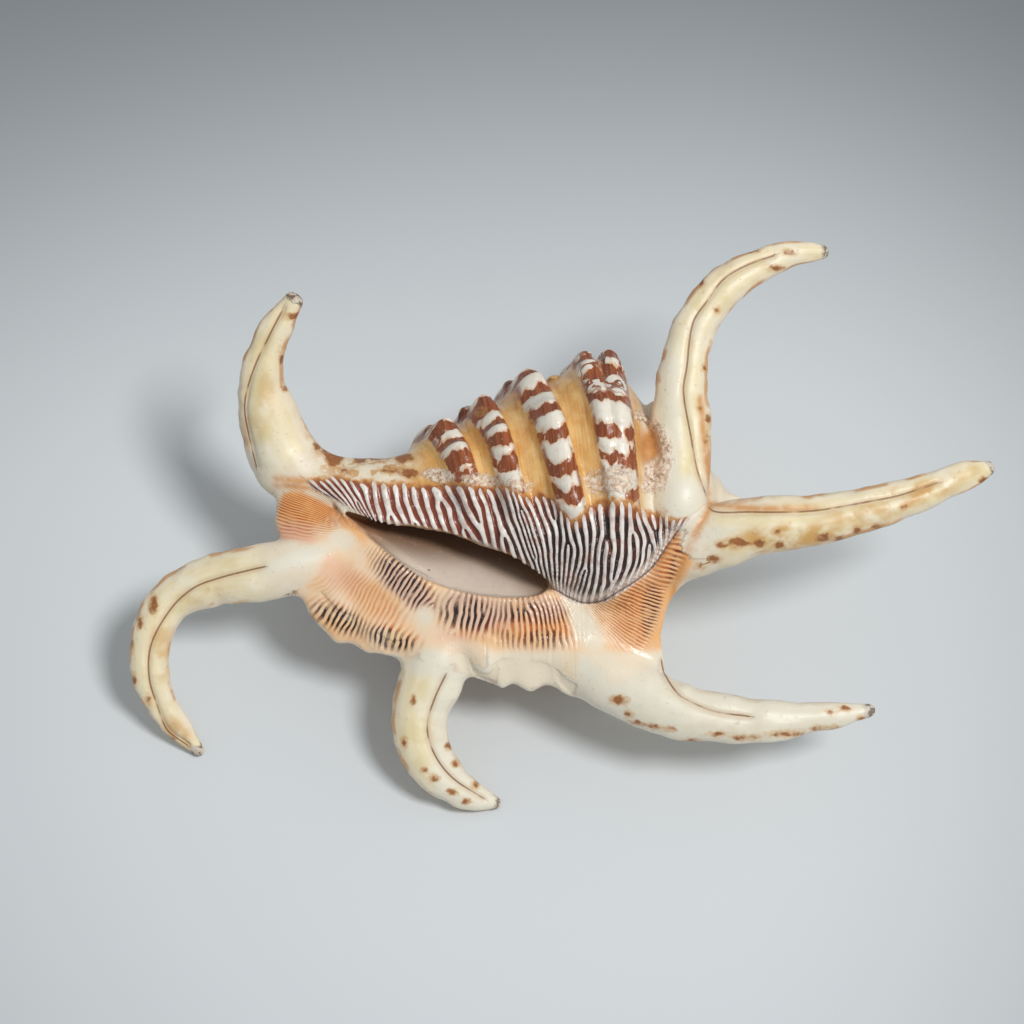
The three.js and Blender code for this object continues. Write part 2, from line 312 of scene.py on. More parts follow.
mouth = {
    "outline": [(-50, 1.5), (-46, -0.6), (-38, -4.4), (-24, -7.6), (-9, -9.4), (2.5, -13.6), (10.4, -20),
                (8.6, -22.8), (2, -24), (-9, -23.4), (-21, -20.4), (-32, -14.6), (-40, -8.4), (-46.2, -2.4)],
    "middle": (-14, -14.5),
    "top": 40,  # above the face everywhere
    "edge": 13,  # height where the wall turns in under the coil
    "shallowEnd": (-50, 4),  # along the axis, and the height of the hollow's floor there
    "deepEnd": (-8, -20),
    "hollow": 0.25,  # how much wider the hollow is than the mouth, part way down
    "underCoil": 24,  # how far the hollow's floor runs under the coil
}
mouthRim = curveAt(mouth["outline"] + mouth["outline"][:1], np.linspace(0, 1, 241))[:-1]


def hollowSurface(t, turn):
    at = (turn * len(mouthRim)) % len(mouthRim)
    i = at.astype(int)
    rim = mix(mouthRim[i], mouthRim[(i + 1) % len(mouthRim)], (at - i)[:, None])
    ends = np.sqrt(np.clip(np.minimum(t, 1 - t) / 0.08, 0, 1))
    rim = mouth["middle"] + (rim - mouth["middle"]) * ends[:, None]
    reach = smooth(rim[:, 0], mouth["shallowEnd"][0], mouth["deepEnd"][0])
    floor = mix(mouth["shallowEnd"][1], mouth["deepEnd"][1], reach)
    z = mix(mouth["top"], floor, np.clip((t - 0.08) / 0.84, 0, 1))
    inside = np.clip((mouth["edge"] - z) / (mouth["edge"] - floor), 0, 1) * reach
    swell = 1 + mouth["hollow"] * np.sin(np.pi * inside) - 0.6 * inside**3
    x = mouth["middle"][0] + (rim[:, 0] - mouth["middle"][0]) * mix(1, swell, 0.5)
    y = mouth["middle"][1] + (rim[:, 1] - mouth["middle"][1]) * swell
    y += mouth["underCoil"] * np.sin(np.pi / 2 * inside)
    return np.stack([x, y, z], 1)


build = {
    "voxel": 0.55,  # millimetres
    "triangles": 192000,
    "relax": 0.08,  # how much each round evens the mesh out, everywhere and at the joins
    "joinRelax": 0.9,
    "relaxRounds": 34,
}


def deselectAll():
    bpy.ops.object.select_all(action="DESELECT")


def makeBall(name, surface, segments, rings):  # a ball whose poles are a part's two ends
    deselectAll()
    bpy.ops.mesh.primitive_uv_sphere_add(segments=segments, ring_count=rings, radius=1)
    part = bpy.context.object
    part.name = name
    p = readPoints(part)
    t = np.arccos(np.clip(p[:, 2], -1, 1)) / np.pi
    turn = (np.arctan2(p[:, 1], p[:, 0]) / (2 * np.pi)) % 1
    writePoints(part, toTable(surface(t, turn)))
    bpy.ops.object.mode_set(mode="EDIT")
    bpy.ops.mesh.select_all(action="SELECT")
    bpy.ops.mesh.normals_make_consistent(inside=False)
    bpy.ops.object.mode_set(mode="OBJECT")
    return part


def readVectors(part, key):
    values = np.zeros(len(part.data.vertices) * 3)
    part.data.vertices.foreach_get(key, values)
    return values.reshape(-1, 3)


def readPoints(part):
    return readVectors(part, "co")


def readNormals(part):  # in the drawing's directions
    return tipped(readVectors(part, "normal"), -lie["tilt"])


def writePoints(part, p):
    part.data.vertices.foreach_set("co", p.astype(np.float32).ravel())
    part.data.update()


def applyModifier(part, kind, **settings):
    deselectAll()
    part.select_set(True)
    bpy.context.view_layer.objects.active = part
    modifier = part.modifiers.new(kind.title(), kind)
    for key, value in settings.items():
        setattr(modifier, key, value)
    bpy.ops.object.modifier_apply(modifier=modifier.name)


def joinParts(parts, name):
    deselectAll()
    for part in parts:
        part.select_set(True)
    bpy.context.view_layer.objects.active = parts[0]
    bpy.ops.object.join()
    parts[0].name = name
    parts[0].data.name = name
    return parts[0]


print("shell: solids")
solids = [makeBall("body", bodySurface, segments=480, rings=320),
          makeBall("lip", lipSurface, segments=200, rings=420)]
solids += [makeBall(name, digitSurface(digit), segments=48, rings=180) for name, digit in digits.items()]
shell = joinParts(solids, "spiderConchShell")
applyModifier(shell, "REMESH", mode="VOXEL", voxel_size=build["voxel"] / 1000, adaptivity=0)
hollow = makeBall("hollow", hollowSurface, segments=240, rings=120)
applyModifier(shell, "BOOLEAN", object=hollow, operation="DIFFERENCE", solver="MANIFOLD")
bpy.data.objects.remove(hollow)
applyModifier(shell, "REMESH", mode="VOXEL", voxel_size=build["voxel"] / 1000, adaptivity=0)
print("shell: vertices", len(shell.data.vertices))


class Patch:  # a sheet of numbered guide lines on the face, seen from above
    def __init__(self, guides):
        self.numbers = np.array([number for number, points in guides], float)
        self.across = np.linspace(0, 1, 41)
        lines = np.stack([curveAt(points, self.across) for number, points in guides], 1)
        self.lengths = np.linalg.norm(np.diff(lines, axis=0), axis=2).sum(0)
        self.count = int((self.numbers[-1] - self.numbers[0]) * 8) + 1
        share = np.linspace(0, 1, self.count)
        number = mix(self.numbers[0], self.numbers[-1], share)
        at = np.interp(number, self.numbers, np.linspace(0, 1, len(guides)))
        self.grid = np.stack([curveAt(line, at) for line in lines])
        self.step = number[1] - number[0]
        self.first = number[0]
        self.tree = kdtree.KDTree(self.grid.shape[0] * self.grid.shape[1])
        for i, (x, y) in enumerate(self.grid.reshape(-1, 2)):
            self.tree.insert((x, y, 0), i)
        self.tree.balance()

    def locate(self, p, chosen):  # part of a line's length, its number, and millimetres past ends and sides
        along, number = np.zeros(len(p)), np.full(len(p), -99.0)
        pastEnd, pastSide = np.full(len(p), 99.0), np.full(len(p), 99.0)
        which = np.nonzero(chosen)[0]
        found = np.array([self.tree.find((x, y, 0))[1] for x, y in p[which, :2]], int)
        i, j = found // self.count, found % self.count
        a, b = np.clip(i, 1, len(self.across) - 2), np.clip(j, 1, self.count - 2)
        du = (self.grid[a + 1, b] - self.grid[a - 1, b]) / 2
        dv = (self.grid[a, b + 1] - self.grid[a, b - 1]) / 2
        off = p[which, :2] - self.grid[i, j]
        det = du[:, 0] * dv[:, 1] - du[:, 1] * dv[:, 0]
        u = (off[:, 0] * dv[:, 1] - off[:, 1] * dv[:, 0]) / det
        v = (du[:, 0] * off[:, 1] - du[:, 1] * off[:, 0]) / det
        atU, atV = i + u, j + v
        along[which] = atU * (self.across[1] - self.across[0])
        number[which] = self.first + atV * self.step
        pastEnd[which] = np.maximum(atU - len(self.across) + 1, 0) * np.linalg.norm(du, axis=1)
        pastSide[which] = np.maximum(np.maximum(-atV, atV - self.count + 1), 0) * np.linalg.norm(dv, axis=1)
        return along, number, pastEnd, pastSide

    def fromStart(self, along, number):  # millimetres from the upper end of a line
        return along * np.interp(number, self.numbers, self.lengths)


# Raised white ridges of the glaze: a ridge's number, and its line from the coil to the mouth or the crease.
glazeLines = [
    (-1, [(-60, 8.5), (-57.5, 7), (-54.5, 5.5)]), (1, [(-55, 9), (-52, 6), (-48, 2.5)]),
    (4, [(-49.5, 9.5), (-46, 5), (-41, -1.5)]), (7, [(-41, 8), (-39.5, 2), (-36.5, -5)]),
    (10, [(-33, 7.5), (-31.5, 0.5), (-28, -7.5)]), (13, [(-26, 7), (-24, 0), (-20.5, -9)]),
    (16, [(-17, 7.5), (-15, 0), (-12, -10)]), (19, [(-9, 6.5), (-6.5, -1), (-3, -12)]),
    (22, [(-1.5, 6), (1.5, -3.5), (5, -15.5)]), (25, [(3.5, 4), (7, -8), (10.5, -20.5)]),
    (28, [(10, 4.5), (12.5, -8), (13.5, -23)]), (31, [(17, -3), (18.2, -12.5), (16, -25)]),
    (34, [(22.8, 1.5), (23.5, -10.5), (19.5, -26)]), (37, [(30.5, 2), (30, -13), (26.5, -25)]),
    (40, [(36.5, -0.5), (37.5, -10.5), (33.5, -20.5)]), (42, [(41, -1.5), (41, -10), (38.5, -16.5)]),
    (44, [(45, -2.5), (44, -6), (43.2, -9.5)]), (46, [(48.5, -2), (47.5, -3.5), (46.5, -5)]),
]
# Fine ridges of the outer lip, from the mouth or the crease to the margin.
lipLines = [
    (0, [(-45.5, -3.2), (-53, 1), (-64, 6)]), (8.5, [(-45, -5), (-54, -3), (-66, 0.5)]),
    (18, [(-43.5, -6), (-54, -9.5), (-66, -10)]), (25, [(-42.5, -7.5), (-54, -14), (-63.5, -18)]),
    (31, [(-41, -9), (-49.5, -20), (-58.5, -29.5)]), (35, [(-37.5, -11), (-46, -24), (-53.5, -36)]),
    (39.5, [(-33, -14.5), (-41, -27), (-46.5, -38.5)]), (44.5, [(-27.5, -18), (-34, -29.5), (-38.5, -41)]),
    (49.5, [(-20.5, -21), (-25, -30.5), (-29, -42.5)]), (54, [(-13, -22), (-15, -31), (-17.5, -44)]),
    (59, [(-6, -23), (-7, -31), (-8, -46)]), (64, [(1, -23.5), (1.5, -31.5), (1.5, -48)]),
    (69, [(7.5, -22.5), (9.5, -31), (10.5, -49)]), (73.5, [(12, -22), (16, -31), (20, -50)]),
    (79, [(16.5, -24), (24, -33.5), (32, -46)]), (84, [(20, -25.5), (28.5, -33), (39.5, -41)]),
    (89, [(24, -25.5), (32, -30.5), (42, -35)]), (94, [(28, -23.5), (35, -27), (43.5, -30)]),
    (98, [(32, -21), (38, -23.5), (44, -25.5)]), (102, [(36, -18), (40.5, -20), (45, -21.5)]),
    (106, [(40, -14), (43.5, -15.5), (47.5, -17)]), (110, [(43.5, -9.5), (46.5, -10.5), (50, -12)]),
    (113, [(46, -5.5), (48.5, -6), (52, -6.5)]),
]
mouthTop = mouth["outline"][:7]  # the mouth's edge on the coil side
crease = [(11, -21.5), (12.5, -22), (16, -24), (20, -25.5), (25, -25), (30, -22), (35.5, -18.5), (39.5, -15),
          (42.5, -10.5), (46, -5.5)]
# Where one more ridge starts between its neighbours, or one ends: its place, and which of the two it is.
glazeForks = [(-44, 3, 1), (-34.5, -1, 1), (-27.5, -3, 1), (-20, 3, 1), (-13.5, -5, 1), (-9, -3, -1),
              (-2, -7, 1), (2.5, 0.5, 1), (6.5, -13, -1), (12, -2, -1), (15.5, -9, 1), (20.5, -16, 1),
              (26, -8, 1), (28, -19, -1), (33.5, -6, 1), (38.5, -9, 1), (40, -5, -1)]
lipForks = [(-57, -6, -1), (-50, -11, 1), (-45, -17, 1), (-37.5, -20, 1), (-31, -25, -1), (-22, -26, 1),
            (-16, -34, 1), (-8, -28, -1), (-1.5, -33, 1), (4, -28, 1), (12, -33, -1), (17, -28, 1),
            (27, -29, 1), (33, -26, 1)]


def forkTurns(forks, x, y):  # how far the forks shift the count of ridges
    turns = np.zeros(len(x))
    for forkX, forkY, sign in forks:
        turns += sign * np.arctan2(x - forkX, forkY - y) / (2 * np.pi)
    return turns


def digitFields(digit, p):  # t along it, distance in half widths, and how far to its side
    ts = np.linspace(0, 1, 241)
    centre, side, face, half = digitFrame(digit, ts)
    t, off = np.zeros(len(p)), np.full(len(p), 9.0)
    sideways = np.zeros(len(p))
    near = np.all((p > centre.min(0) - 14) & (p < centre.max(0) + 14), 1)
    for which in np.array_split(np.nonzero(near)[0], max(1, near.sum() // 20000)):
        if not len(which):
            continue
        d = ((p[which, None, :] - centre[None]) ** 2).sum(2)
        i = d.argmin(1)
        away = p[which] - centre[i]
        sideways[which] = (away * side[i]).sum(1) / half[i]
        height = (away * face[i]).sum(1) / (half[i] * digitDepth)
        slip = (away * np.cross(side[i], face[i])).sum(1) / half[i]
        off[which] = np.sqrt(sideways[which] ** 2 + height**2 + slip**2)
        t[which] = ts[i]
    return t, off, sideways


class Sheet:  # sample points of a surface, to find how near a point lies to it
    def __init__(self, surface, rows, turns, first, last, turnLast=1.0):
        t, turn = np.meshgrid(np.linspace(first, last, rows),
                              np.linspace(0, turnLast, turns, endpoint=False), indexing="ij")
        self.t, self.turn = t.ravel(), turn.ravel()
        points = surface(self.t, self.turn)
        self.low, self.high = points.min(0) - 6, points.max(0) + 6
        self.tree = kdtree.KDTree(len(points))
        for i, point in enumerate(points):
            self.tree.insert(point, i)
        self.tree.balance()

    def nearest(self, p):  # distance, t and turn of the nearest sample
        gap, index = np.full(len(p), 9.0), np.zeros(len(p), int)
        which = np.nonzero(np.all((p > self.low) & (p < self.high), 1))[0]
        found = [self.tree.find(point)[1:] for point in p[which]]
        index[which] = [i for i, distance in found]
        gap[which] = [distance for i, distance in found]
        return gap, self.t[index], self.turn[index]


sheets = {
    "lipFace": Sheet(lipSurface, rows=420, turns=60, first=0.02, last=0.98, turnLast=0.25),
    "lip": Sheet(lipSurface, rows=300, turns=120, first=0.02, last=0.98),
    "hollow": Sheet(hollowSurface, rows=150, turns=240, first=0.1, last=1.0),
}
glazePatch, lipPatch = Patch(glazeLines), Patch(lipLines)

# How far along its centreline each digit leaves the lip or the coil, and the dark groove along its face.
digitLooks = {
    "canal": {"root": 0.44, "groove": [(-65, 57.5), (-69, 50), (-73, 42), (-76.5, 31), (-75.5, 22),
                                       (-73.5, 13)]},
    "front": {"root": 0.3, "groove": [(-70, -15.5), (-74.5, -16.5), (-84, -19), (-90.5, -21.5), (-97, -27),
                                      (-103.5, -38.5), (-104, -48), (-102, -56), (-99.5, -63),
                                      (-94, -67.5)]},
    "middle": {"root": 0.33, "groove": [(-18, -44.5), (-22, -53), (-24, -60.5), (-22.5, -67.5), (-17.5, -75),
                                        (-8, -82)]},
    "rear": {"root": 0.36, "groove": [(41.5, -37), (43, -45.5), (46.5, -51), (48, -52), (56, -55.5),
                                      (66, -57)]},
    "tail": {"root": 0.34, "groove": [(51.5, 12.5), (54, 3.5), (55.5, 0.5), (66, 0), (78, 0), (85, 0.5),
                                      (99.5, 3), (107, 4.5), (118, 8)]},
    "crest": {"root": 0.16, "groove": [(74, 72.5), (66, 69.5), (59.5, 65.5), (55, 59.5), (51, 53.5),
                                       (49, 40.5), (48, 34), (50, 20.5), (51, 14.5), (52, 10.5), (54, 5),
                                       (54.8, 0.8)]},
}
# The height of the mouth's edge along x.
mouthEdge = [(-50, 5), (-45, 8.5), (-38, 11), (-27, 14.5), (-15, 16), (0, 17.5), (10, 18)]


def addDigitFields(f, p):  # the nearest digit, where on it a point lies, and how far from its groove
    near = np.full(len(p), 99.0)
    f["digit"], f["digitT"], f["sideways"] = np.zeros(len(p), int), np.zeros(len(p)), np.zeros(len(p))
    f["groove"], f["beyond"] = np.full(len(p), 99.0), np.full(len(p), -1.0)
    for i, (name, digit) in enumerate(digits.items()):
        t, off, sideways = digitFields(digit, p)
        gap = (off - 1) * 6  # about millimetres
        groove = lineDistance(digitLooks[name]["groove"], f["x"], f["y"])
        found = {"digit": i, "digitT": t, "sideways": sideways, "groove": groove,
                 "beyond": t - digitLooks[name]["root"]}
        for key, values in found.items():
            f[key] = np.where(gap < near, values, f[key])
        near = np.minimum(near, gap)
    f["digitGap"] = near
    f["isDigit"] = smooth(-near, -3, -0.5) * smooth(f["beyond"], -0.04, 0.04)


def addThroatFields(f, p):  # how far a point is inside the mouth, and how deep under the coil's edge
    closedOutline = mouth["outline"] + mouth["outline"][:1]
    f["wallGap"] = sheets["hollow"].nearest(p)[0]
    inMouth = smooth(-lineDistance(closedOutline, f["x"], f["y"]), -0.4, 0.2)
    inMouth *= (f["z"] > -22) * (f["x"] > -51) * (f["y"] < 4)
    edge = np.interp(f["x"], *np.transpose(mouthEdge))
    f["throat"] = np.maximum(1 - smooth(f["wallGap"], 0.7, 1.6), inMouth) * smooth(edge - f["z"], 0.3, 2.6)
    f["mouthDepth"] = np.clip(-lineDistance(mouthTop, f["x"], f["y"]) / 9, 0, 1)


# Millimetres that the face may stand off a sheet of ridges, and how much more on the right, where the coil's
# end stands over the lip.
room = {"glaze": 4, "glazeOnRight": 14, "lip": 4, "lipOnRight": 5, "rightFrom": 18, "rightTo": 32}


def shellFields(p, n):  # where each point lies on the shell's parts
    x, y, z = p.T
    f = {"x": x, "y": y, "z": z}
    f["angle"] = np.degrees(np.arctan2(z / coil["flatness"], y - coil["axisY"])) % 360
    f["radius"] = np.hypot(y - coil["axisY"], z / coil["flatness"])
    f["coilGap"] = f["radius"] - bodyRadius(x, f["angle"])
    f["lipGap"] = sheets["lip"].nearest(p)[0]
    f["facing"] = smooth(n[:, 2], -0.1, 0.35)
    addDigitFields(f, p)
    addThroatFields(f, p)
    right = smooth(x, room["rightFrom"], room["rightTo"])
    nearGlaze = f["coilGap"] < room["glaze"] + room["glazeOnRight"] * right
    glazeSpan = nearGlaze & (z > 0) & (x > -64) & (x < 52) & (y < 16)
    f["glazeAlong"], f["glazeNumber"], pastEnd, pastSide = glazePatch.locate(p, glazeSpan)
    f["glazeStart"] = glazePatch.fromStart(f["glazeAlong"], f["glazeNumber"])
    glazeOut = np.hypot(pastEnd, pastSide)
    faceGap, _, lipTurn = sheets["lipFace"].nearest(p)
    faceGap -= room["lipOnRight"] * right
    f["lipLine"], f["lipNumber"], pastEnd, pastSide = lipPatch.locate(p, faceGap < room["lip"])
    beforeStart = -lipPatch.fromStart(f["lipLine"], f["lipNumber"]) - 2.5
    lipOut = np.hypot(np.maximum(beforeStart, pastEnd), pastSide)
    f["crease"] = lineDistance(crease, x, y)
    past = smooth(lipTurn * 4, 0.08, 0)  # on the rounded edge at the mouth
    onLip = (1 - smooth(faceGap - 2 * past, 1.2, 3)) * (1 - smooth(lipOut, 0.3, 2.5))
    onLip *= mix(f["facing"], 1, past)
    onGlaze = (1 - smooth(glazeOut, 0.2, 1.2)) * smooth(f["glazeStart"], -3.6, -2.8)
    onGlaze *= 1 - smooth(np.abs(f["coilGap"]) - 12 * right, 1.5, 4)
    f["glaze"] = onGlaze * (1 - f["throat"])
    f["lipFace"] = onLip * (1 - f["throat"]) * (1 - f["glaze"] * smooth(lipOut, 0, 0.4)) * (1 - f["isDigit"])
    f["glaze"] *= 1 - f["lipFace"] * (glazeOut > lipOut)
    return f


def relax(p, pairs, weight, rounds):  # evens out the mesh where weight is high
    a, b = pairs.T
    count = np.bincount(a, minlength=len(p)) + np.bincount(b, minlength=len(p))
    for _ in range(rounds):
        sums = [np.bincount(a, p[b, k], len(p)) + np.bincount(b, p[a, k], len(p)) for k in range(3)]
        total = np.stack(sums, 1)
        p = p + (total / count[:, None] - p) * weight[:, None]
    return p


def readPairs(part):
    pairs = np.zeros(len(part.data.edges) * 2, np.int64)
    part.data.edges.foreach_get("vertices", pairs)
    return pairs.reshape(-1, 2)


def ripples(p, length, seed):  # soft random waves about as long as length, from -1 to 1
    draw = np.random.default_rng(seed)
    total = np.zeros(len(p))
    for _ in range(9):
        way = draw.normal(size=3)
        way *= 2 * np.pi / length / np.linalg.norm(way) * draw.uniform(0.6, 1.5)
        total += np.sin(p @ way + draw.uniform(0, 2 * np.pi))
    return total / 4.5


def ridge(number, sharp=0.55):  # 1 on a ridge and 0 in the groove beside it
    return smooth(np.cos(2 * np.pi * number), -sharp, sharp)


# Soft patches on the face: middle, half length, half width, degrees the length is turned, and strength.
patches = {
    "pale": [
        (-59, -12.5, 15, 2.8, 20, 1), (-48.5, -8, 5, 3.4, 0, 1), (-24.5, -29.5, 3.4, 3.6, 0, 0.9),
        (21, -33, 4.4, 9.5, 28, 1), (17, -25.5, 3, 4, 40, 0.8), (-24, -42.5, 7, 5, 0, 0.9),
        (-12, -39, 9, 3, -10, 0.6), (47, 3, 7.5, 8.5, 0, 1), (43.5, 13, 3.6, 9, 8, 1),
        (45, 28, 3.4, 17, 0, 0.8), (-72, 13, 8, 9, 0, 0.7), (60, 3, 16, 2.2, 0, 0.4),
        (56, -6, 9, 2.6, 12, 0.7), (30, -47, 12, 5, 0, 0.6),
    ],
    "lines": [
        (-59, 0, 15, 8, 0, 1), (-47, -1, 8, 2.6, -35, 0.9), (-30, -20, 15, 6, -42, 1),
        (-12, -29, 12, 7.5, -16, 1), (7, -31, 16, 9.5, 0, 1), (-49, -30, 11, 5, -22, 1),
        (-34, -35.5, 10, 5, -20, 1), (-39, -25, 13, 6, -38, 0.5), (37, -28, 12, 14, 0, 1),
        (46, -12, 8, 14, -20, 1), (28, -27, 8, 6, 0, 0.6), (-52, -21, 8, 3, -20, 0.2),
    ],
    "orange": [
        (-59, 2, 14, 8, 0, 1), (-46, -3.5, 9, 2.6, -42, 0.8), (4, -31, 17, 8, 0, 0.55),
        (-40, -24, 14, 5, -38, 0.5), (-49, -33.5, 11, 3, -26, 0.4), (38, -28, 14, 14, 0, 0.75),
        (46, -12, 8, 13, -20, 0.75), (31, -26, 6, 5, 0, 0.4),
    ],
    "rose": [(-30, -20.5, 13, 5, -42, 1), (-9, -28, 14, 6, -10, 0.9), (9, -27, 8, 4, 0, 0.8)],
    "dark": [
        (-62, 0, 9, 6, 0, 0.12), (40.5, -31, 4.5, 12, 8, 0.75), (48, -13, 4, 10, -20, 0.6),
        (-31, -19.5, 14, 5.5, -42, 1), (-14, -27.5, 11, 6, -18, 1), (-1, -27, 11, 4.5, 0, 0.85),
        (9, -28, 9, 4.5, 0, 0.6), (9, -36.5, 8, 4, 0, 0.7), (-2, -36, 5, 3, -20, 0.5),
        (-49, -31, 11, 4.4, -24, 0.85), (-34, -36.5, 10, 3.8, -18, 0.9),
    ],
    "ochre": [
        (-70, 33, 3, 9, 0, 0.5), (-73, 25, 5, 6, 0, 0.35), (-100, -40, 5, 10, 0, 0.6),
        (-96.5, -64, 4, 7, 30, 0.8), (-20.5, -62, 3, 5, 0, 0.7), (61, -60, 16, 4.6, 0, 1),
        (82, -61, 11, 3.4, 0, 0.7), (112, 5, 14, 4, 12, 0.9), (126, 11, 6, 3, 18, 0.6),
        (76, -7, 20, 4.6, 4, 1), (97, -1, 14, 4, 8, 0.7), (58, 70, 8, 5, 40, 0.35), (57, 30, 3, 16, 0, 0.6),
        (-88, -24, 8, 3, 10, 0.3), (52, -9.5, 5, 3.5, 20, 0.8), (-61, 8, 7, 2.6, -10, 0.5),
    ],
    "blush": [
        (-62, -7, 8, 5, 0, 0.9), (-50, -17, 9, 5, -30, 0.6), (-15, -37, 8, 4, -20, 0.5),
        (-13, 10, 13, 2.6, -6, 0.7), (29, 9, 5, 6, 0, 0.7), (40, 10, 4, 4, 0, 0.6),
    ],
    "chalk": [
        (-21, 10.4, 6, 2.4, -6, 0.85), (-8, 9, 8, 2.2, -6, 0.75), (2, 7.5, 5, 2, -10, 0.6),
        (29, 9, 6, 5, 0, 0.66), (40, 10.5, 4.2, 5.4, 0, 0.95), (24, 8, 5, 4.6, 0, 0.55),
    ],
    "neck": [(-42, 13.5, 17, 6, 0, 1)],
}
ring = {  # the rough rim round the tan patch beside the last rib
    "line": [(35.5, 27), (38.5, 25.5), (41, 23), (42.8, 18), (42.6, 12.5), (40.5, 8), (37, 7)],
    "half": 1.5,
    "patch": (38.3, 18, 3.6, 6.8, 0, 1),
}
# Orange seams where the crest, tail and rear fingers leave the lip, and under the canal.
seams = {
    "lines": [[(52.6, 32), (54.2, 14), (55.6, 3.5), (51.5, -5), (47.6, -14), (45.2, -25), (47, -35),
               (51, -43)],
              [(55.6, 2.4), (66, 1), (84, 1.2)], [(-67.5, 9.5), (-58, 8.8), (-50, 9.5)],
              [(-67.5, 7.6), (-60, 7), (-54, 6)]],
    "half": 1.0,
}
# The smooth swelling at the crest finger's foot.
callus = {"at": (47, 3.2), "half": (7.6, 8.6), "height": 1.9, "fade": 16}
# Brown knobs that stand behind the ribs on the edge seen from the face: place, half width and height.
backKnobs = [(11.5, 38.5, -1.9, 2.6, 2.0), (-1.5, 37.5, -8, 2.4, 1.8), (-14.5, 29.5, -7.5, 2.2, 1.6),
             (-25, 24.5, -4.3, 2.2, 1.4)]
# Brown bands across the ribs: degrees round the axis where they cross, on the side seen from the face.
bands = [[22, 44, 59.5, 72.6, 87], [25.6, 42, 59, 70], [10, 25, 44, 58, 74, 87, 99],
         [12.6, 20.3, 37, 52, 66, 83], [3.6, 16.4, 36, 55, 68, 80]]
bandLook = {
    "half": 1.85,  # half a band's thickness in millimetres
    "bow": 4.5,  # degrees a band's middle hangs below its ends
    "every": 13,  # degrees between hidden bands
    "hidden": 17,  # how many of them a rib has
    "shift": 1.5,  # degrees that all bands lie nearer the lip than their marks
}


def patchField(rows, x, y):
    total = np.zeros(len(x))
    for px, py, length, width, turned, strength in rows:
        a = math.radians(turned)
        u = ((x - px) * math.cos(a) + (y - py) * math.sin(a)) / length
        v = ((y - py) * math.cos(a) - (x - px) * math.sin(a)) / width
        total = np.maximum(total, strength * (1 - smooth(np.hypot(u, v), 0.45, 1.15)))
    return total


def addRibFields(f):  # height on the nearest rib, millimetres inside its nearest band, place on the coil
    back = np.where(f["angle"] > coil["lipAngle"], f["angle"] - 360, f["angle"])
    growth = 90 - back
    scale = coil["growthPerTurn"] ** ((growth - 90) / 360)
    at = (coil["apexX"] - f["x"]) / scale
    f["rib"], f["band"] = np.zeros(len(at)), np.full(len(at), -3.0)
    jitter = np.random.default_rng(11)
    for look, marks in zip(ribs, bands):
        across = (at - look["at"] - look["slant"] * (growth / 90 - 1)) / look["half"]
        raised = ribShape(across)
        more = [marks[0] - bandLook["every"] * (k + 1 + jitter.uniform(-0.2, 0.2))
                for k in range(bandLook["hidden"])]
        bowed = back + bandLook["bow"] * np.clip(across, -1, 1) ** 2
        near = np.min(np.abs(bowed[:, None] - bandLook["shift"] - np.array(marks + more)), 1)
        inside = bandLook["half"] - np.radians(near) * f["radius"]
        f["band"] = np.where(raised > f["rib"], inside, f["band"])
        f["rib"] = np.maximum(f["rib"], raised)
    onCoil = 1 - smooth(np.abs(f["coilGap"]), 1.5, 3.5)
    f["rib"] *= onCoil
    f["back"] = back
    f["honey"] = onCoil * smooth(f["x"], -34, -26) * (1 - smooth(f["x"], 35, 38))
    f["honey"] *= 1 - smooth(-back, 40, 90) * 0.55  # thinner on the back
    f["coilPlace"] = [at, np.radians(back) * 34, np.zeros(len(at))]  # 34 mm is the coil's usual radius


def addPatchFields(f):
    for name, rows in patches.items():
        f[name] = patchField(rows, f["x"], f["y"]) * f["facing"]
    f["ring"] = bell(lineDistance(ring["line"], f["x"], f["y"]), ring["half"]) * f["facing"]
    seamGap = np.min([np.abs(lineDistance(line, f["x"], f["y"])) for line in seams["lines"]], 0)
    f["seam"] = bell(seamGap, seams["half"]) * f["facing"]
    f["tan"] = patchField([ring["patch"]], f["x"], f["y"]) * f["facing"]
    hem = 1 - smooth(f["y"], -40.5, -38)  # the rolled pale hem under the lip's lines
    rim = smooth(f["lipLine"], 0.78, 0.92) * smooth(f["lipNumber"], 76, 81)
    f["lines"] *= (1 - hem) * (1 - rim) * (1 - 0.95 * f["pale"])
    f["pale"] = np.maximum(f["pale"], 0.95 * hem * smooth(f["x"], -26, -20) * f["facing"])


sculpt = {  # millimetres
    "glazeRidge": 0.75,
    "lipRidgeAtMouth": 0.45,
    "lipRidgeAtMargin": 0.12,
    "bandStep": 0.5,  # white over brown on the ribs
    "crease": 0.7,
    "groove": 0.6,
    "notch": 1.6,  # the groove's depth at a digit's tip
    "flange": 0.2,  # the edges of a digit
    "ring": 0.5,
    "tanDip": 0.9,
    "neck": 0.3,
}


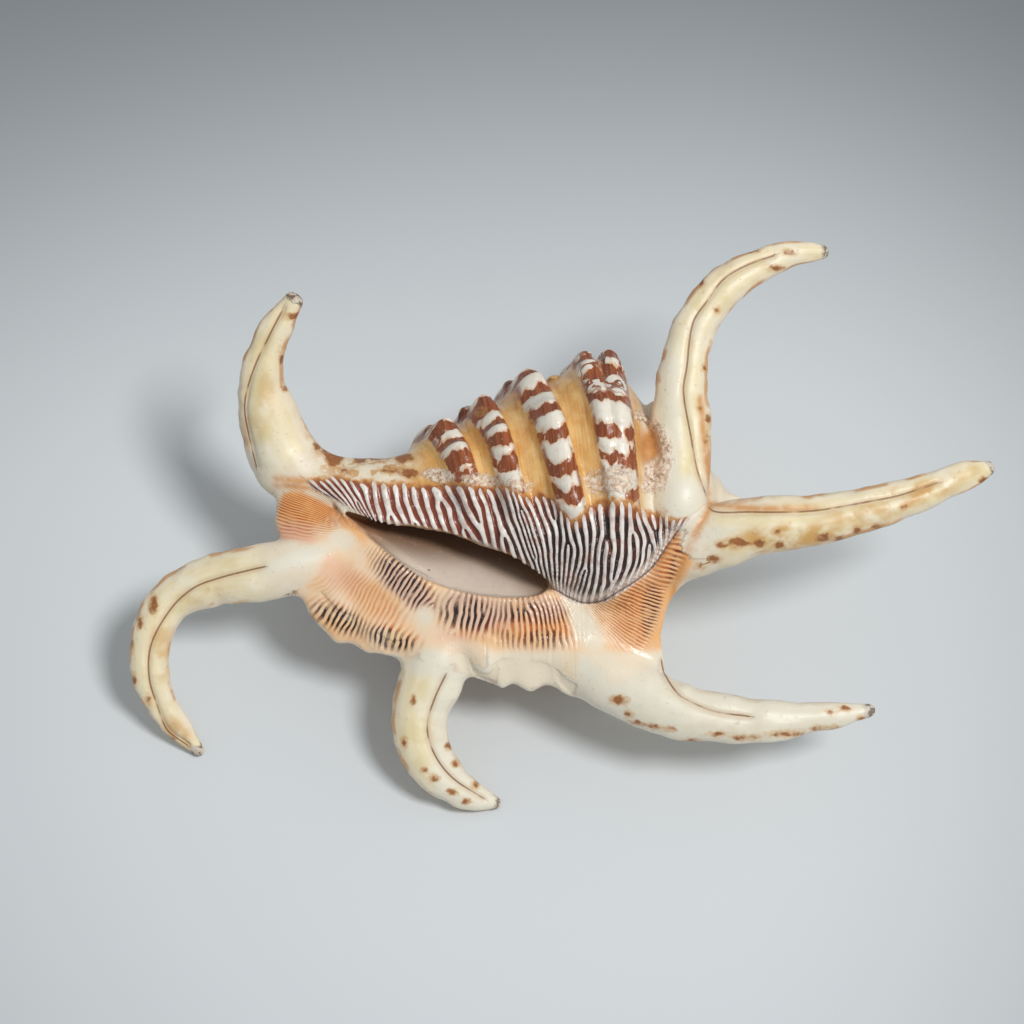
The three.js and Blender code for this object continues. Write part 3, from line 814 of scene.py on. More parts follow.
def sculptedHeight(f, p):  # how far each point stands out of the smooth shell, in millimetres
    x, y = f["x"], f["y"]
    glazeCount = f["glazeNumber"] + forkTurns(glazeForks, x, y)
    lipCount = f["lipNumber"] + forkTurns(lipForks, x, y)
    ends = smooth(f["glazeStart"], 0, 2.5) * (1 - smooth(f["glazeAlong"], 0.96, 1.06))
    height = sculpt["glazeRidge"] * f["glaze"] * ends * (ridge(glazeCount) - 0.4)
    fine = mix(sculpt["lipRidgeAtMouth"], sculpt["lipRidgeAtMargin"], smooth(f["lipLine"], 0.1, 0.9))
    fine *= 1 - smooth(f["lipLine"], 0.95, 1.1)
    height += fine * f["lipFace"] * f["lines"] * (ridge(lipCount) - 0.5)
    onRib = smooth(f["rib"], 0.3, 0.8) * (1 - f["glaze"])
    height += sculpt["bandStep"] * onRib * (smooth(-f["band"], -0.3, 1.2) - 0.6)
    height -= sculpt["crease"] * bell(f["crease"], 0.6) * f["facing"] * (x > 9)
    onDigit = f["isDigit"] * f["facing"]
    notch = smooth(f["digitT"], 0.93, 0.985)
    height -= onDigit * mix(sculpt["groove"], sculpt["notch"], notch) * bell(f["groove"], 0.9)
    height -= onDigit * sculpt["groove"] * bell(f["groove"], 2.8)
    height += f["isDigit"] * (0.16 * ripples(p, 11, 3) + 0.07 * ripples(p, 4, 4))
    flange = bell(np.abs(f["sideways"]) - 0.95, 0.16)
    height += f["isDigit"] * flange * (1 - notch) * (sculpt["flange"] + 0.25 * ripples(p, 7, 5))
    (callusX, callusY), (halfX, halfY) = callus["at"], callus["half"]
    below = np.minimum(y - callusY, 0) / halfY
    swelling = np.sqrt(np.clip(1 - ((x - callusX) / halfX) ** 2 - below**2, 0, 1))
    swelling *= 1 - smooth(y, callusY, callusY + callus["fade"])
    height += callus["height"] * swelling * f["facing"] * (f["z"] > 5)
    height += f["ring"] * (sculpt["ring"] + 0.35 * ripples(p, 2.4, 6)) - sculpt["tanDip"] * f["tan"]
    height += sculpt["neck"] * f["neck"] * ripples(p, 6, 8)
    for *middle, half, raised in backKnobs:
        height += raised * bell(np.linalg.norm(p - middle, axis=1), half)
    return height


print("shell: smoothing the joins")
points, pairs = toDrawing(readPoints(shell)), readPairs(shell)
fields = shellFields(points, readNormals(shell))
closeness = np.sort(np.abs(np.stack([fields["coilGap"], fields["lipGap"], fields["digitGap"]])), 0)[1]
joinWeight = build["joinRelax"] * (1 - smooth(closeness, 1.2, 5)) * smooth(fields["wallGap"], 0.5, 2.5)
points = relax(points, pairs, np.maximum(joinWeight, build["relax"]), build["relaxRounds"])
writePoints(shell, toTable(points))

print("shell: ridges, grooves and edges")
normals = readNormals(shell)
fields = shellFields(points, normals)
addRibFields(fields)
addPatchFields(fields)
points += normals * sculptedHeight(fields, points)[:, None]
points = toTable(points)
points[:, 2] = np.maximum(points[:, 2], 0)  # nothing goes into the table
writePoints(shell, points)
applyModifier(shell, "DECIMATE", ratio=build["triangles"] / (len(shell.data.polygons) * 2))
print("shell: triangles", sum(len(face.vertices) - 2 for face in shell.data.polygons))
deselectAll()
shell.select_set(True)
bpy.context.view_layer.objects.active = shell
bpy.ops.object.shade_smooth()


# Spots on the digits' faces: middle, length along x and along y.
spots = [
    (-61, 55.5, 5.7, 1.7), (-65.5, 44, 1.4, 3.4), (-65, 35.5, 1.4, 1.4), (-61, 61, 2.3, 1.7),
    (-56, 19, 1.4, 3.4), (-51, 15.5, 5, 4.4), (-43.5, 15.3, 3.4, 3), (-38.3, 16, 5, 2.4),
    (-31, 15.5, 5, 2.8), (-29, 11, 4.6, 3.2), (-54, 17.3, 2.3, 1.5), (-35, 12, 3.6, 1.5),
    (-47.5, 11.8, 2.6, 1.3), (-9, 28.5, 2.4, 1.8), (54, 40.5, 1.4, 1.4), (52.5, 29, 1.4, 1.4),
    (54.5, 20, 1.1, 2.3), (57.5, 57, 1.4, 1.7), (53.5, 65, 1.1, 3.4), (67.5, 74, 3.4, 1.1),
    (74.5, 69, 4, 1.1), (78.5, 73.5, 2.3, 1.1), (58, 17, 1.1, 2.3), (55, 26, 1.1, 1.7),
    (-102.5, -26.5, 2.6, 4.6), (-106.5, -31.5, 1.7, 2.9), (-109, -38.5, 1.1, 2.3), (-108.5, -48, 1.1, 2.3),
    (-95.5, -15.5, 2.3, 1.1), (-77, -26.5, 3.4, 1.1), (-93.5, -33, 2.3, 2.3), (-95.5, -35, 1.7, 1.4),
    (-98.5, -66, 2.3, 1.7), (-91, -69.5, 1.7, 1.4), (-104.5, -54, 1.1, 2), (-98, -40, 1.4, 1.7),
    (-18, -66.5, 1.7, 1.7), (-16, -71.5, 1.7, 1.7), (-10.5, -78, 1.7, 1.7), (-22, -75.5, 2.3, 1.7),
    (-17, -79.5, 2.3, 1.4), (-25, -73, 1.4, 1.4), (-13, -82.5, 2, 1.1), (-13, -56.5, 1.1, 3.4),
    (-17, -63, 1.1, 2.9), (-30.5, -65, 1.1, 2.3), (-28, -53, 1.1, 1.7), (30, -52.5, 4, 2.3),
    (32.5, -56.5, 1.7, 1.4), (35, -59, 2, 1.1), (39.5, -60, 2.3, 1.1), (44, -60.5, 2.3, 1.1),
    (50.5, -64, 2.6, 1.1), (57.5, -62, 2.9, 1.1), (63.5, -63, 2.3, 1.1), (67.5, -63, 2.3, 0.9),
    (76.5, -62, 6.9, 1.4), (85.5, -60.5, 2.3, 1.1), (90, -60.5, 2.3, 1.1), (89, -56, 1.7, 1.1),
    (93, -55, 2.3, 1.1), (98, -58, 1.7, 1.1), (62.5, -8.5, 4.6, 2.9), (68.5, -8.5, 2.9, 2.3),
    (74, -9, 2.6, 1.7), (73, -5.5, 2.3, 1.4), (86, -7, 4, 2), (91, -7.5, 2.3, 1.4), (95.5, -5, 2.3, 1.7),
    (101, -4, 2.3, 1.4), (108.5, 1.5, 1.7, 1.1), (56, -13, 2.9, 1.7), (131.5, 9, 2.3, 1.4),
    (52.5, -15, 2, 1.4), (58, -9, 2.3, 1.4),
]


def spotField(x, y):  # millimetres inside the nearest spot
    best = np.full(len(x), -3.0)
    for sx, sy, long, wide in spots:
        d = np.hypot((x - sx) / (long / 2), (y - sy) / (wide / 2))
        best = np.maximum(best, (1 - d) * min(long, wide) / 2)
    return best


def digitLength(digit):
    line = curveAt(digit["path"], np.linspace(0, 1, 200))
    return np.linalg.norm(np.diff(line, axis=0), axis=1).sum()


def storeValue(name, values):
    shell.data.attributes.new(name, "FLOAT", "POINT").data.foreach_set("value", values.astype(np.float32))


def storeVector(name, columns):
    values = np.stack(columns, 1).astype(np.float32)
    shell.data.attributes.new(name, "FLOAT_VECTOR", "POINT").data.foreach_set("vector", values.ravel())


print("shell: markings")
points = toDrawing(readPoints(shell))
fields = shellFields(points, readNormals(shell))
addRibFields(fields)
addPatchFields(fields)
x, y = fields["x"], fields["y"]
face, onDigit = fields["facing"], fields["isDigit"]
hidden = smooth(-fields["back"], 22, 60) * (1 - onDigit)
under = (1 - face) * (1 - smooth(fields["coilGap"], -9, -3))
offFingers = 1 - smooth(fields["beyond"], -0.04, 0.04) * (1 - smooth(fields["digitGap"], 2, 5))
lengths = np.array([digitLength(digit) for digit in digits.values()])
knobGap = np.min([np.linalg.norm(points - knob[:3], axis=1) - knob[3] for knob in backKnobs], 0)

kept = ["glaze", "glazeNumber", "glazeStart", "lipFace", "lipNumber", "throat", "mouthDepth", "rib", "band",
        "honey", "ring", "seam", "tan", "groove", "crease"]
marks = {name: fields[name] for name in kept + list(patches)}
marks["digit"] = onDigit
marks["backSide"] = np.maximum(hidden, under) * offFingers
marks["digitBack"] = onDigit * smooth(-readNormals(shell)[:, 2], 0.2, 0.6)
marks["spot"] = np.where(face > 0.05, spotField(x, y), -3)
marks["grooveNear"] = (face > 0.1) * (1 - smooth(np.abs(fields["groove"]), 1.2, 2))
marks["grooveNear"] *= smooth(onDigit, 0.2, 0.5)
marks["creaseNear"] = (face > 0.1) * (x > 9) * (1 - smooth(np.abs(fields["crease"]), 4, 5))
marks["tip"] = smooth(fields["digitT"], 0.955, 0.99) * onDigit
marks["margin"] = smooth(np.abs(fields["sideways"]), 0.5, 0.95) * onDigit
marks["knob"] = 1 - smooth(knobGap, -1.5, 1.5)
marks["net"] = (1 - smooth(fields["back"], 34, 48)) * smooth(fields["back"], -20, 0) * smooth(x, 17, 21)
for name, values in marks.items():
    storeValue(name, values)
storeVector("coilPlace", fields["coilPlace"])
storeVector("digitPlace", [fields["sideways"] * 6, fields["digitT"] * lengths[fields["digit"]],
                           fields["digit"] * 40.0])  # each digit has its own part of the noise


class Nodes:  # adds nodes to a tree; each call gives back the socket that comes out
    def __init__(self, tree):
        self.tree = tree

    def add(self, kind, feeds=(), **settings):
        node = self.tree.nodes.new(kind)
        for key, value in settings.items():
            setattr(node, key, value)
        for key, value in dict(feeds).items():
            self.feed(node.inputs[key], value)
        return node

    def feed(self, socket, value):  # value is a socket, a number, a vector or the name of a shade
        if isinstance(value, bpy.types.NodeSocket):
            self.tree.links.new(value, socket)
        else:
            socket.default_value = paint(*shades[value]) if isinstance(value, str) else value

    def math(self, operation, a, b=0.0, clamp=False):
        return self.add("ShaderNodeMath", {0: a, 1: b}, operation=operation, use_clamp=clamp).outputs[0]

    def plus(self, a, b):
        return self.math("ADD", a, b)

    def minus(self, a, b):
        return self.math("SUBTRACT", a, b)

    def times(self, a, b):
        return self.math("MULTIPLY", a, b)

    def most(self, a, b):
        return self.math("MAXIMUM", a, b)

    def ramp(self, value, low, high, start=0.0, end=1.0):  # from start at low to end at high
        feeds = {"Value": value, "From Min": low, "From Max": high, "To Min": start, "To Max": end}
        return self.add("ShaderNodeMapRange", feeds, interpolation_type="SMOOTHSTEP").outputs[0]

    def edge(self, value, softness):  # 0 where value is below 0 and 1 above it
        return self.ramp(value, self.times(softness, -1), softness)

    def blend(self, share, a, b):
        node = self.add("ShaderNodeMix", data_type="RGBA")
        for index, value in ((0, share), (6, a), (7, b)):
            self.feed(node.inputs[index], value)
        return node.outputs[2]

    def layers(self, colour, coats):  # each coat is a share and a colour, laid over the ones before it
        for share, coat in coats:
            colour = self.blend(share, colour, coat)
        return colour

    def noise(self, vector, scale, detail=2.0, roughness=0.5):
        feeds = {"Vector": vector, "Scale": scale, "Detail": detail, "Roughness": roughness}
        return self.add("ShaderNodeTexNoise", feeds).outputs["Fac"]

    def cloud(self, vector, scale, detail, low, high, start=0.0, end=1.0, roughness=0.5):  # noise made a mask
        return self.ramp(self.noise(vector, scale, detail, roughness), low, high, start, end)

    def sway(self, vector, scale, detail, amount):  # noise to either side of 0
        return self.times(self.minus(self.noise(vector, scale, detail), 0.5), amount)

    def stretch(self, vector, scale):
        return self.add("ShaderNodeVectorMath", {0: vector, 1: scale}, operation="MULTIPLY").outputs[0]

    def value(self, name):
        return self.add("ShaderNodeAttribute", attribute_name=name).outputs["Fac"]

    def vector(self, name):
        return self.add("ShaderNodeAttribute", attribute_name=name).outputs["Vector"]

    def group(self, tree, feeds):
        node = self.add("ShaderNodeGroup")
        node.node_tree = tree
        for key, value in feeds.items():
            self.feed(node.inputs[key], value)
        return node.outputs[0]


def newGroup(name, output, **inputs):  # a node group, its nodes, its inputs by name, and its one output
    tree = bpy.data.node_groups.new(name, "ShaderNodeTree")
    for label, default in inputs.items():
        kind = "NodeSocketVector" if isinstance(default, tuple) else "NodeSocketFloat"
        tree.interface.new_socket(label, in_out="INPUT", socket_type=kind).default_value = default
    tree.interface.new_socket(output, in_out="OUTPUT", socket_type="NodeSocketFloat")
    nodes = Nodes(tree)
    return nodes, nodes.add("NodeGroupInput").outputs, nodes.add("NodeGroupOutput").inputs[output]


def makeRaggedGroup():  # turns a field in millimetres into a mask with a ragged edge
    g, given, mask = newGroup("raggedEdge", "Mask", Field=0, Place=(0, 0, 0), Scale=1, Amount=1, Softness=0.2)
    rough = g.sway(given["Place"], given["Scale"], 3, given["Amount"])
    g.feed(mask, g.edge(g.plus(given["Field"], rough), given["Softness"]))
    return g.tree


def makeForkGroup(name, forks):  # how far the forks shift the count of ridges at a place on the face
    g, given, turns = newGroup(name, "Turns", Place=(0, 0, 0))
    place = g.add("ShaderNodeSeparateXYZ", {0: given["Place"]}).outputs
    total = 0.0
    for forkX, forkY, sign in forks:
        angle = g.math("ARCTAN2", g.minus(place["X"], forkX), g.minus(forkY, place["Y"]))
        total = g.plus(total, g.times(angle, sign / (2 * math.pi)))
    g.feed(turns, total)
    return g.tree


def makeRidgeGroup():  # 1 on a ridge and 0 in the groove, from the ridge count; each starts a little apart
    g, given, ridge = newGroup("ridges", "Ridge", Number=0, Turns=0, Start=9, Place=(0, 0, 0), Waver=0.1,
                               Width=0, Softness=0.4)
    count = g.plus(given["Number"], given["Turns"])
    waver = g.sway(given["Place"], 0.13, 1.5, given["Waver"])
    own = g.noise(g.add("ShaderNodeCombineXYZ", {"X": g.math("ROUND", count)}).outputs[0], 1.37, 0)
    begun = g.plus(given["Start"], g.times(g.minus(own, 0.3), 6.0))
    width = g.plus(given["Width"], g.times(g.minus(own, 0.5), 0.5))
    width = g.minus(width, g.ramp(begun, -0.5, 2.2, 2.0, 0.0))
    wave = g.math("COSINE", g.times(g.plus(count, waver), 2 * math.pi))
    g.feed(ridge, g.edge(g.plus(wave, width), given["Softness"]))
    return g.tree


def makeStreakGroup():  # fine lines that run along a part, as it grew
    g, given, streaks = newGroup("growthStreaks", "Streaks", Place=(0, 0, 0), Across=1, Along=0.1)
    scale = g.add("ShaderNodeCombineXYZ", {"X": given["Across"], "Y": given["Along"], "Z": 1.0}).outputs[0]
    g.feed(streaks, g.noise(g.stretch(given["Place"], scale), 1.0, 4, 0.6))
    return g.tree


def paint(*rgb):  # a colour for a socket, from 0-255 values above 10
    return tuple(((c / 255 + 0.055) / 1.055) ** 2.4 for c in rgb) + (1,)


shades = {  # red, green and blue as seen on screen
    "cream": (240, 230, 210), "creamLow": (226, 208, 178), "backBlotch": (150, 84, 40),
    # the coil: troughs, bands, ribs and the knobs behind them
    "honey": (222, 164, 88), "honeyPale": (238, 194, 126), "honeyDark": (178, 112, 54),
    "honeyShine": (236, 204, 158), "band": (124, 60, 32), "bandPale": (166, 92, 52),
    "bandHalo": (214, 152, 98), "ribWhite": (248, 242, 230), "ribGrey": (228, 216, 196),
    "knob": (112, 62, 36), "neck": (236, 222, 196), "neckBlotch": (206, 150, 86),
    # the digits and their stains
    "digit": (236, 218, 172), "digitPale": (241, 229, 198), "digitWhite": (242, 234, 214),
    "digitYellow": (228, 210, 158), "digitEdge": (238, 224, 206), "edging": (206, 146, 84),
    "ochre": (212, 166, 98), "digitBack": (168, 112, 62),
    # the outer lip and its lines
    "peach": (244, 204, 158), "peachPale": (246, 216, 182), "orange": (240, 174, 108),
    "blush": (236, 184, 152), "rose": (230, 190, 164), "lineOrange": (204, 112, 50),
    "lineBrown": (116, 50, 30), "lineBlack": (44, 26, 24), "hem": (238, 226, 202),
    # the glaze, from where its ridges begin to the crease, and the mouth
    "glazeBrown": (132, 62, 42), "glazeBlack": (46, 30, 30), "glazeRed": (136, 66, 42),
    "beginHoney": (212, 152, 86), "beginBrown": (150, 82, 48), "creaseSide": (224, 198, 180),
    "ridgeWhite": (240, 232, 224), "ridgeGrey": (212, 196, 186), "ridgeFlank": (150, 92, 66),
    # throatShade is painted shade along the mouth's edge under the coil
    "throatShade": (146, 114, 90), "throatPale": (230, 212, 194), "throatOrange": (196, 134, 90),
    # callus, crust and patches
    "callus": (232, 226, 208), "tan": (222, 170, 104), "tanDark": (178, 108, 54), "crust": (240, 224, 204),
    "crustTan": (206, 172, 142), "crustPit": (168, 128, 100), "seam": (212, 146, 78),
    # spots, grooves and tips
    "spotHalo": (208, 156, 88), "spot": (124, 72, 40), "spotPale": (184, 122, 66),
    "grooveStain": (206, 160, 118), "groove": (128, 80, 48), "crease": (104, 66, 48), "tip": (96, 74, 62),
    "tipPale": (206, 194, 180),
    # the floor near, and painted shade for where the light falls off, far back and round about
    "floorNear": (214, 218, 220), "floorFarShade": (150, 156, 160), "floorPaintedShade": (60, 62, 64),
}


class ShellNodes(Nodes):  # the shell's material: its places, its masks, and its colour so far
    def __init__(self, tree):
        super().__init__(tree)
        self.raggedGroup, self.ridgeGroup = makeRaggedGroup(), makeRidgeGroup()
        self.streakGroup = makeStreakGroup()
        drawing = {"Vector": self.add("ShaderNodeTexCoord").outputs["Object"],
                   "Location": tuple(toDrawing(np.zeros((1, 3)))[0]),
                   "Rotation": (math.radians(-lie["tilt"]), 0, 0), "Scale": (1000, 1000, 1000)}
        self.place = self.add("ShaderNodeMapping", drawing).outputs[0]  # the drawing's own millimetres
        self.coilPlace, self.digitPlace = self.vector("coilPlace"), self.vector("digitPlace")
        self.along = self.add("ShaderNodeSeparateXYZ", {0: self.place}).outputs["X"]
        self.masks = {}
        self.colour = self.blend(self.noise(self.place, 0.2, 3), "cream", "creamLow")

    def lay(self, *coats):
        self.colour = self.layers(self.colour, coats)

    def ragged(self, field, place, scale, amount, softness):
        return self.group(self.raggedGroup, {"Field": field, "Place": place, "Scale": scale, "Amount": amount,
                                             "Softness": softness})

    def ridges(self, part, forks, **feeds):
        turns = self.group(makeForkGroup(part + "Forks", forks), {"Place": self.place})
        return self.group(self.ridgeGroup, {"Number": self.value(part + "Number"), "Turns": turns,
                                            "Place": self.place, "Width": 0.1, **feeds})

    def streaks(self, place, across, along):
        return self.group(self.streakGroup, {"Place": place, "Across": across, "Along": along})


def layBack(n):  # brown blotches on the side away from the face
    blotch = n.cloud(n.stretch(n.place, (1, 0.7, 1)), 0.16, 5, 0.54, 0.6, roughness=0.65)
    n.lay((n.times(blotch, n.ramp(n.value("backSide"), 0.6, 1.0, 0.0, 0.8)), "backBlotch"))


def layCoil(n):  # honey troughs, white ribs with brown bands
    streaks = n.streaks(n.coilPlace, across=1.3, along=0.05)
    n.lay((n.value("honey"), n.layers("honey", [
        (n.cloud(n.place, 0.16, 3, 0.35, 0.65), "honeyPale"),
        (n.times(n.ramp(streaks, 0.5, 0.72), 0.55), "honeyDark"),
        (n.times(n.ramp(streaks, 0.5, 0.25), 0.5), "honeyShine"),
    ])))
    field = n.plus(n.value("band"), n.sway(n.stretch(n.coilPlace, (1, 0.5, 1)), 0.32, 1.5, 6.5))
    place = n.stretch(n.coilPlace, (1, 0.4, 1))
    band = n.ragged(field, place, scale=1.3, amount=1.3, softness=0.16)
    halo = n.ragged(n.plus(field, 0.45), place, scale=1.1, amount=1.6, softness=0.6)
    network = n.math("ABSOLUTE", n.minus(n.noise(n.place, 0.27, 1.5), 0.5))
    band = n.most(band, n.times(n.ramp(network, 0.045, 0.08, 1, 0), n.value("net")))
    ribFoot = n.times(n.ramp(n.value("rib"), 0.78, 0.55), n.cloud(n.coilPlace, 0.14, 3, 0.4, 0.52))
    band = n.most(band, n.times(ribFoot, 0.85))
    rib = n.ragged(n.minus(n.value("rib"), 0.42), n.place, scale=0.5, amount=0.45, softness=0.12)
    n.lay((rib, n.layers("ribWhite", [
        (n.noise(n.place, 0.5), "ribGrey"),
        (n.times(halo, 0.7), "bandHalo"),
        (band, n.blend(n.ramp(streaks, 0.35, 0.65), "band", "bandPale")),
    ])), (n.times(n.value("knob"), n.cloud(n.place, 0.5, 3, 0.4, 0.5)), "knob"))
    n.masks.update(band=n.times(band, rib), coilStreaks=n.times(streaks, n.value("honey")))


def layNeck(n):  # blotched cream
    blotch = n.times(n.value("neck"), n.cloud(n.place, 0.28, 4, 0.5, 0.58, roughness=0.6))
    n.lay((n.value("neck"), "neck"), (n.times(blotch, 0.8), "neckBlotch"))


def layDigits(n):  # cream, paler at the margins, with ochre stains
    streaks, margin = n.streaks(n.digitPlace, across=0.9, along=0.07), n.value("margin")
    n.lay((n.value("digit"), n.layers("digit", [
        (n.ramp(streaks, 0.2, 0.8), "digitPale"),
        (n.cloud(n.place, 0.09, 3, 0.5, 0.7, 0, 0.6), "digitWhite"),
        (n.cloud(n.place, 0.13, 2, 0.35, 0.5, 0.6, 0), "digitYellow"),
        (n.times(margin, 0.5), "digitEdge"),
        (n.times(n.ramp(margin, 0.75, 1.0), n.cloud(n.place, 0.12, 3, 0.46, 0.6, 0, 0.8)), "edging"),
        (n.times(n.value("ochre"), n.cloud(n.place, 0.2, 2.5, 0.32, 0.62)), "ochre"),
        (n.times(n.value("digitBack"), n.cloud(n.place, 0.16, 3, 0.56, 0.66)), "digitBack"),
    ])))
    n.masks["digitStreaks"] = n.times(streaks, n.value("digit"))


def layLip(n):  # peach, with fine lines from orange to nearly black
    ridge = n.ridges("lip", lipForks, Waver=2.1, Softness=0.6)
    broken = n.cloud(n.place, 0.22, 3, 0.3, 0.5, 0.45, 1)
    lines, dark = n.value("lines"), n.value("dark")
    lineColour = n.layers("lineOrange", [
        (n.ramp(dark, 0.0, 0.45), "lineBrown"),
        (n.ramp(dark, 0.45, 0.95), "lineBlack"),
    ])
    n.lay((n.value("lipFace"), n.layers("peach", [
        (n.cloud(n.place, 0.15, 3, 0.35, 0.65), "peachPale"),
        (n.value("orange"), "orange"),
        (n.value("blush"), "blush"),
        (n.value("rose"), "rose"),
        (n.times(n.minus(1.0, ridge), n.times(lines, broken)), lineColour),
        (n.times(n.value("pale"), 0.95), "hem"),
    ])))
    n.masks["lipRidge"] = n.times(ridge, lines)


def layGlaze(n):  # white ridges over red-brown to black, honey where they begin, pale along the crease
    ridge = n.ridges("glaze", glazeForks, Start=n.value("glazeStart"), Waver=0.9, Softness=0.5)
    depth = n.plus(n.value("glazeStart"), n.sway(n.place, 0.5, 3, 5.0))
    creaseSide = n.ramp(n.math("ABSOLUTE", n.value("crease")), 1.2, 3.2, 0.95, 0)
    ground = n.layers("glazeBrown", [
        (n.ramp(n.along, -14, 10), "glazeBlack"),
        (n.cloud(n.place, 0.1, 3, 0.5, 0.65, 0, 0.7), "glazeRed"),
    ])
    ground = n.layers(n.blend(n.ramp(depth, -1.5, 1.0), "beginHoney", "beginBrown"), [
        (n.ramp(depth, 1.0, 4.0), ground),
        (n.times(creaseSide, n.value("creaseNear")), "creaseSide"),
    ])
    mask = n.times(n.value("glaze"), n.ramp(depth, -2.5, -0.5))
    n.lay((mask, n.layers(ground, [
        (n.ramp(ridge, 0.1, 0.5), n.blend(0.5, ground, "ridgeFlank")),
        (n.ramp(ridge, 0.4, 0.85), n.blend(n.cloud(n.place, 0.4, 2, 0.4, 0.7), "ridgeWhite", "ridgeGrey")),
    ])))
    n.masks.update(glaze=mask, glazeRidge=n.times(ridge, mask))


def layMouth(n):  # pale, with painted shade darkening it up under the coil, and warm at the canal
    depth = n.plus(n.value("mouthDepth"), n.sway(n.place, 0.1, 2, 0.2))
    # painted shade: darkest at the mouth's edge under the coil, paler across the mouth
    n.lay((n.value("throat"), n.layers("throatShade", [
        (n.ramp(depth, 0.1, 1.1), "throatPale"),
        (n.ramp(n.along, -48, -34, 0.7, 0), "throatOrange"),
    ])))


def layCrust(n):  # pale callus, the tan patch, chalky crust and orange seams outside the lip
    offLip = n.minus(1.0, n.most(n.value("lipFace"), n.masks["glaze"]))
    crust = n.minus(n.most(n.value("ring"), n.value("chalk")), 0.4)
    crust = n.ragged(crust, n.place, scale=0.8, amount=1.3, softness=0.3)
    crust = n.times(crust, n.minus(1.0, n.masks["glazeRidge"]))
    pits = n.cloud(n.place, 0.8, 5, 0.34, 0.46, roughness=0.7)
    grain = n.blend(n.cloud(n.place, 0.9, 4, 0.35, 0.65), "crust", "crustTan")
    seam = n.times(n.value("seam"), n.cloud(n.place, 0.2, 3, 0.3, 0.55, 0.45, 0.9))
    n.lay((n.times(n.value("pale"), n.times(offLip, 0.85)), "callus"),
          (n.value("tan"), n.blend(n.noise(n.place, 0.25, 3), "tan", "tanDark")),
          (crust, n.blend(pits, "crustPit", grain)),
          (n.times(seam, n.minus(1.0, n.masks["glaze"])), "seam"))
    n.masks.update(crust=crust, pits=n.times(pits, crust))


def layMarks(n):  # spots, dark grooves and tips
    spot, near = n.value("spot"), n.value("grooveNear")
    halo = n.ragged(n.plus(spot, 0.5), n.place, scale=0.6, amount=2.0, softness=0.6)
    n.lay((n.times(halo, 0.55), "spotHalo"),
          (n.ragged(spot, n.place, scale=0.5, amount=2.4, softness=0.4),
           n.blend(n.noise(n.place, 0.8, 3), "spot", "spotPale")))
    gap = n.math("ABSOLUTE", n.value("groove"))
    groove = n.times(n.ramp(gap, 0.08, 0.34, 1, 0), n.cloud(n.place, 0.14, 2, 0.32, 0.5, 0.25, 1))
    groove = n.times(groove, near)
    crease = n.ramp(n.math("ABSOLUTE", n.value("crease")), 0.1, 0.45, 0.8, 0)
    tip = n.ragged(n.minus(n.value("tip"), 0.5), n.place, scale=0.5, amount=1.8, softness=0.2)
    n.lay((n.times(n.ramp(gap, 0.2, 1.6, 0.3, 0), near), "grooveStain"),
          (n.times(groove, 0.8), "groove"),
          (n.times(crease, n.value("creaseNear")), "crease"),
          (n.times(tip, 0.85), n.blend(n.cloud(n.place, 0.5, 2, 0.45, 0.55), "tip", "tipPale")))
    n.masks["groove"] = groove


finish = {
    "dull": 0.42,  # roughness of the bare shell and of the glossy parts
    "glossy": 0.26,
    "crust": 0.4,  # how much rougher the crust is
    "bump": 0.0006,  # metres that the fine relief stands out where its strength below is 1
    "relief": {"digitStreaks": 0.2, "coilStreaks": 0.25, "lipRidge": 0.35, "glazeRidge": 0.4, "pits": 0.8,
               "groove": -0.6, "band": -0.2},
}


def newMaterial(name, kind):  # a material, its nodes, and its shader's inputs
    material = bpy.data.materials.new(name)
    material.use_nodes = True
    return material, kind(material.node_tree), material.node_tree.nodes["Principled BSDF"].inputs


def makeShellMaterial():
    material, n, shader = newMaterial("shell", ShellNodes)
    for layPart in (layBack, layCoil, layNeck, layDigits, layLip, layGlaze, layMouth, layCrust, layMarks):
        layPart(n)
    gloss = n.most(n.most(n.masks["glaze"], n.value("honey")), n.value("lipFace"))
    rough = n.plus(n.ramp(gloss, 0.2, 0.9, finish["dull"], finish["glossy"]), n.sway(n.place, 0.7, 3, 0.16))
    rough = n.math("ADD", rough, n.times(n.masks["crust"], finish["crust"]), clamp=True)
    relief = 0.0
    for name, strength in finish["relief"].items():
        relief = n.plus(relief, n.times(n.masks[name], strength))
    bump = n.add("ShaderNodeBump", {"Strength": 0.6, "Distance": finish["bump"], "Height": relief}).outputs[0]
    for name, value in {"Base Color": n.colour, "Roughness": rough, "Normal": bump, "IOR": 1.5}.items():
        n.feed(shader[name], value)
    return material


shell.data.materials.clear()
shell.data.materials.append(makeShellMaterial())


view = {"elevation": 60, "distance": 0.817, "lens": 100, "sensor": 36}
studio = {
    "keyFrom": (0.477, -0.247, 1),  # from the shell towards the soft light
    "keyDistance": 3.0,
    "keySize": 0.8,
    "keyPower": 57,
    "skyStrength": 0.43,
    "skyColour": (0.93, 0.97, 1.0, 1),
}
target = Vector(shellLow) + Vector(lie["origin"]) / 1000
tilt = math.radians(view["elevation"])
towards = Vector((0, -math.cos(tilt), math.sin(tilt)))


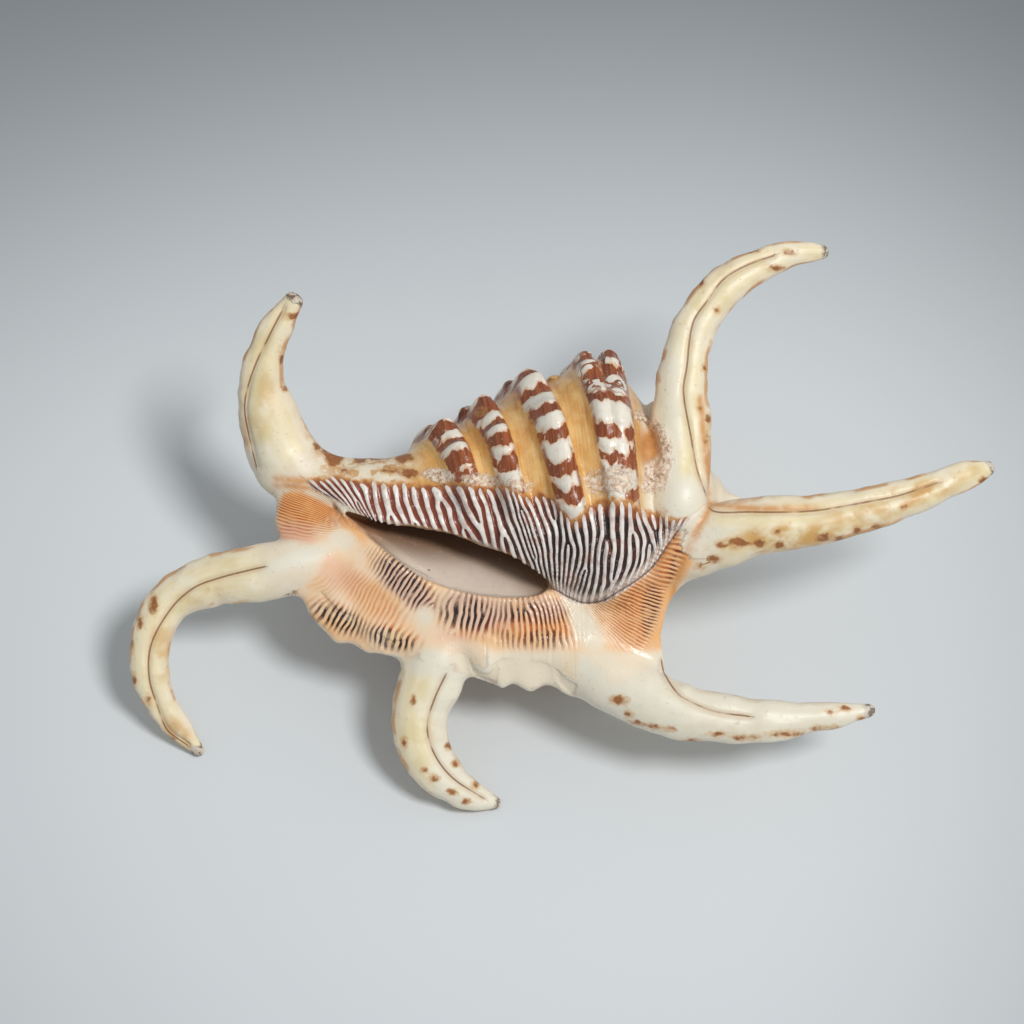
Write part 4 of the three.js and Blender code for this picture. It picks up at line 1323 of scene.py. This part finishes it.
def aimAtShell(name, data, way, distance):  # an object some way off, turned to face the shell
    thing = bpy.data.objects.new(name, data)
    thing.location = target + way * distance
    thing.rotation_euler = (-way).to_track_quat("-Z", "Y").to_euler()
    bpy.context.scene.collection.objects.link(thing)
    return thing


print("studio: camera, light and floor")
cameraData = bpy.data.cameras.new("camera")
cameraData.lens = view["lens"]
cameraData.sensor_width = view["sensor"]
camera = aimAtShell("camera", cameraData, towards, view["distance"])
bpy.context.scene.camera = camera

keyData = bpy.data.lights.new("softLight", "AREA")
keyData.shape = "DISK"
keyData.size = studio["keySize"]
keyData.energy = studio["keyPower"]
aimAtShell("softLight", keyData, Vector(studio["keyFrom"]).normalized(), studio["keyDistance"])

world = bpy.data.worlds.new("studio")
world.use_nodes = True
background = world.node_tree.nodes["Background"].inputs
background["Color"].default_value = studio["skyColour"]
background["Strength"].default_value = studio["skyStrength"]
bpy.context.scene.world = world
bpy.context.scene.view_settings.view_transform = "Standard"

floorLook = {  # metres over which the floor's painted shade changes away from the shell
    "size": 6,
    # painted shade: darker far back, round about, and on the right where the soft light stands nearer
    "far": (0.03, 0.3),
    "paintedShadeAround": (0.1, 0.32),
    "paintedShadeRight": (0.04, 0.34),
    "roughness": 0.8,
    "specular": 0.2,
}


def makeFloorMaterial():  # pale, with painted shade darkening it far back, away from the shell and on the right
    material, n, shader = newMaterial("floor", Nodes)
    place = n.add("ShaderNodeTexCoord").outputs["Object"]
    across, depth = n.add("ShaderNodeSeparateXYZ", {0: place}).outputs[:2]
    away = n.add("ShaderNodeVectorMath", {0: place}, operation="LENGTH").outputs["Value"]
    # the far and dim coats are painted shade laid over the pale floor
    n.feed(shader["Base Color"], n.layers("floorNear", [
        (n.ramp(depth, *floorLook["far"]), "floorFarShade"),
        (n.ramp(away, *floorLook["paintedShadeAround"], 0, 0.4), "floorPaintedShade"),
        (n.ramp(across, *floorLook["paintedShadeRight"], 0, 0.5), "floorPaintedShade"),
    ]))
    n.feed(shader["Roughness"], floorLook["roughness"])
    n.feed(shader["Specular IOR Level"], floorLook["specular"])
    return material


deselectAll()
bpy.ops.mesh.primitive_plane_add(size=floorLook["size"], location=(0, 0, 0))
floor = bpy.context.object
floor.name = "floor"
floor.data.materials.append(makeFloorMaterial())

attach(shell, "root")
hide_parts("shell")
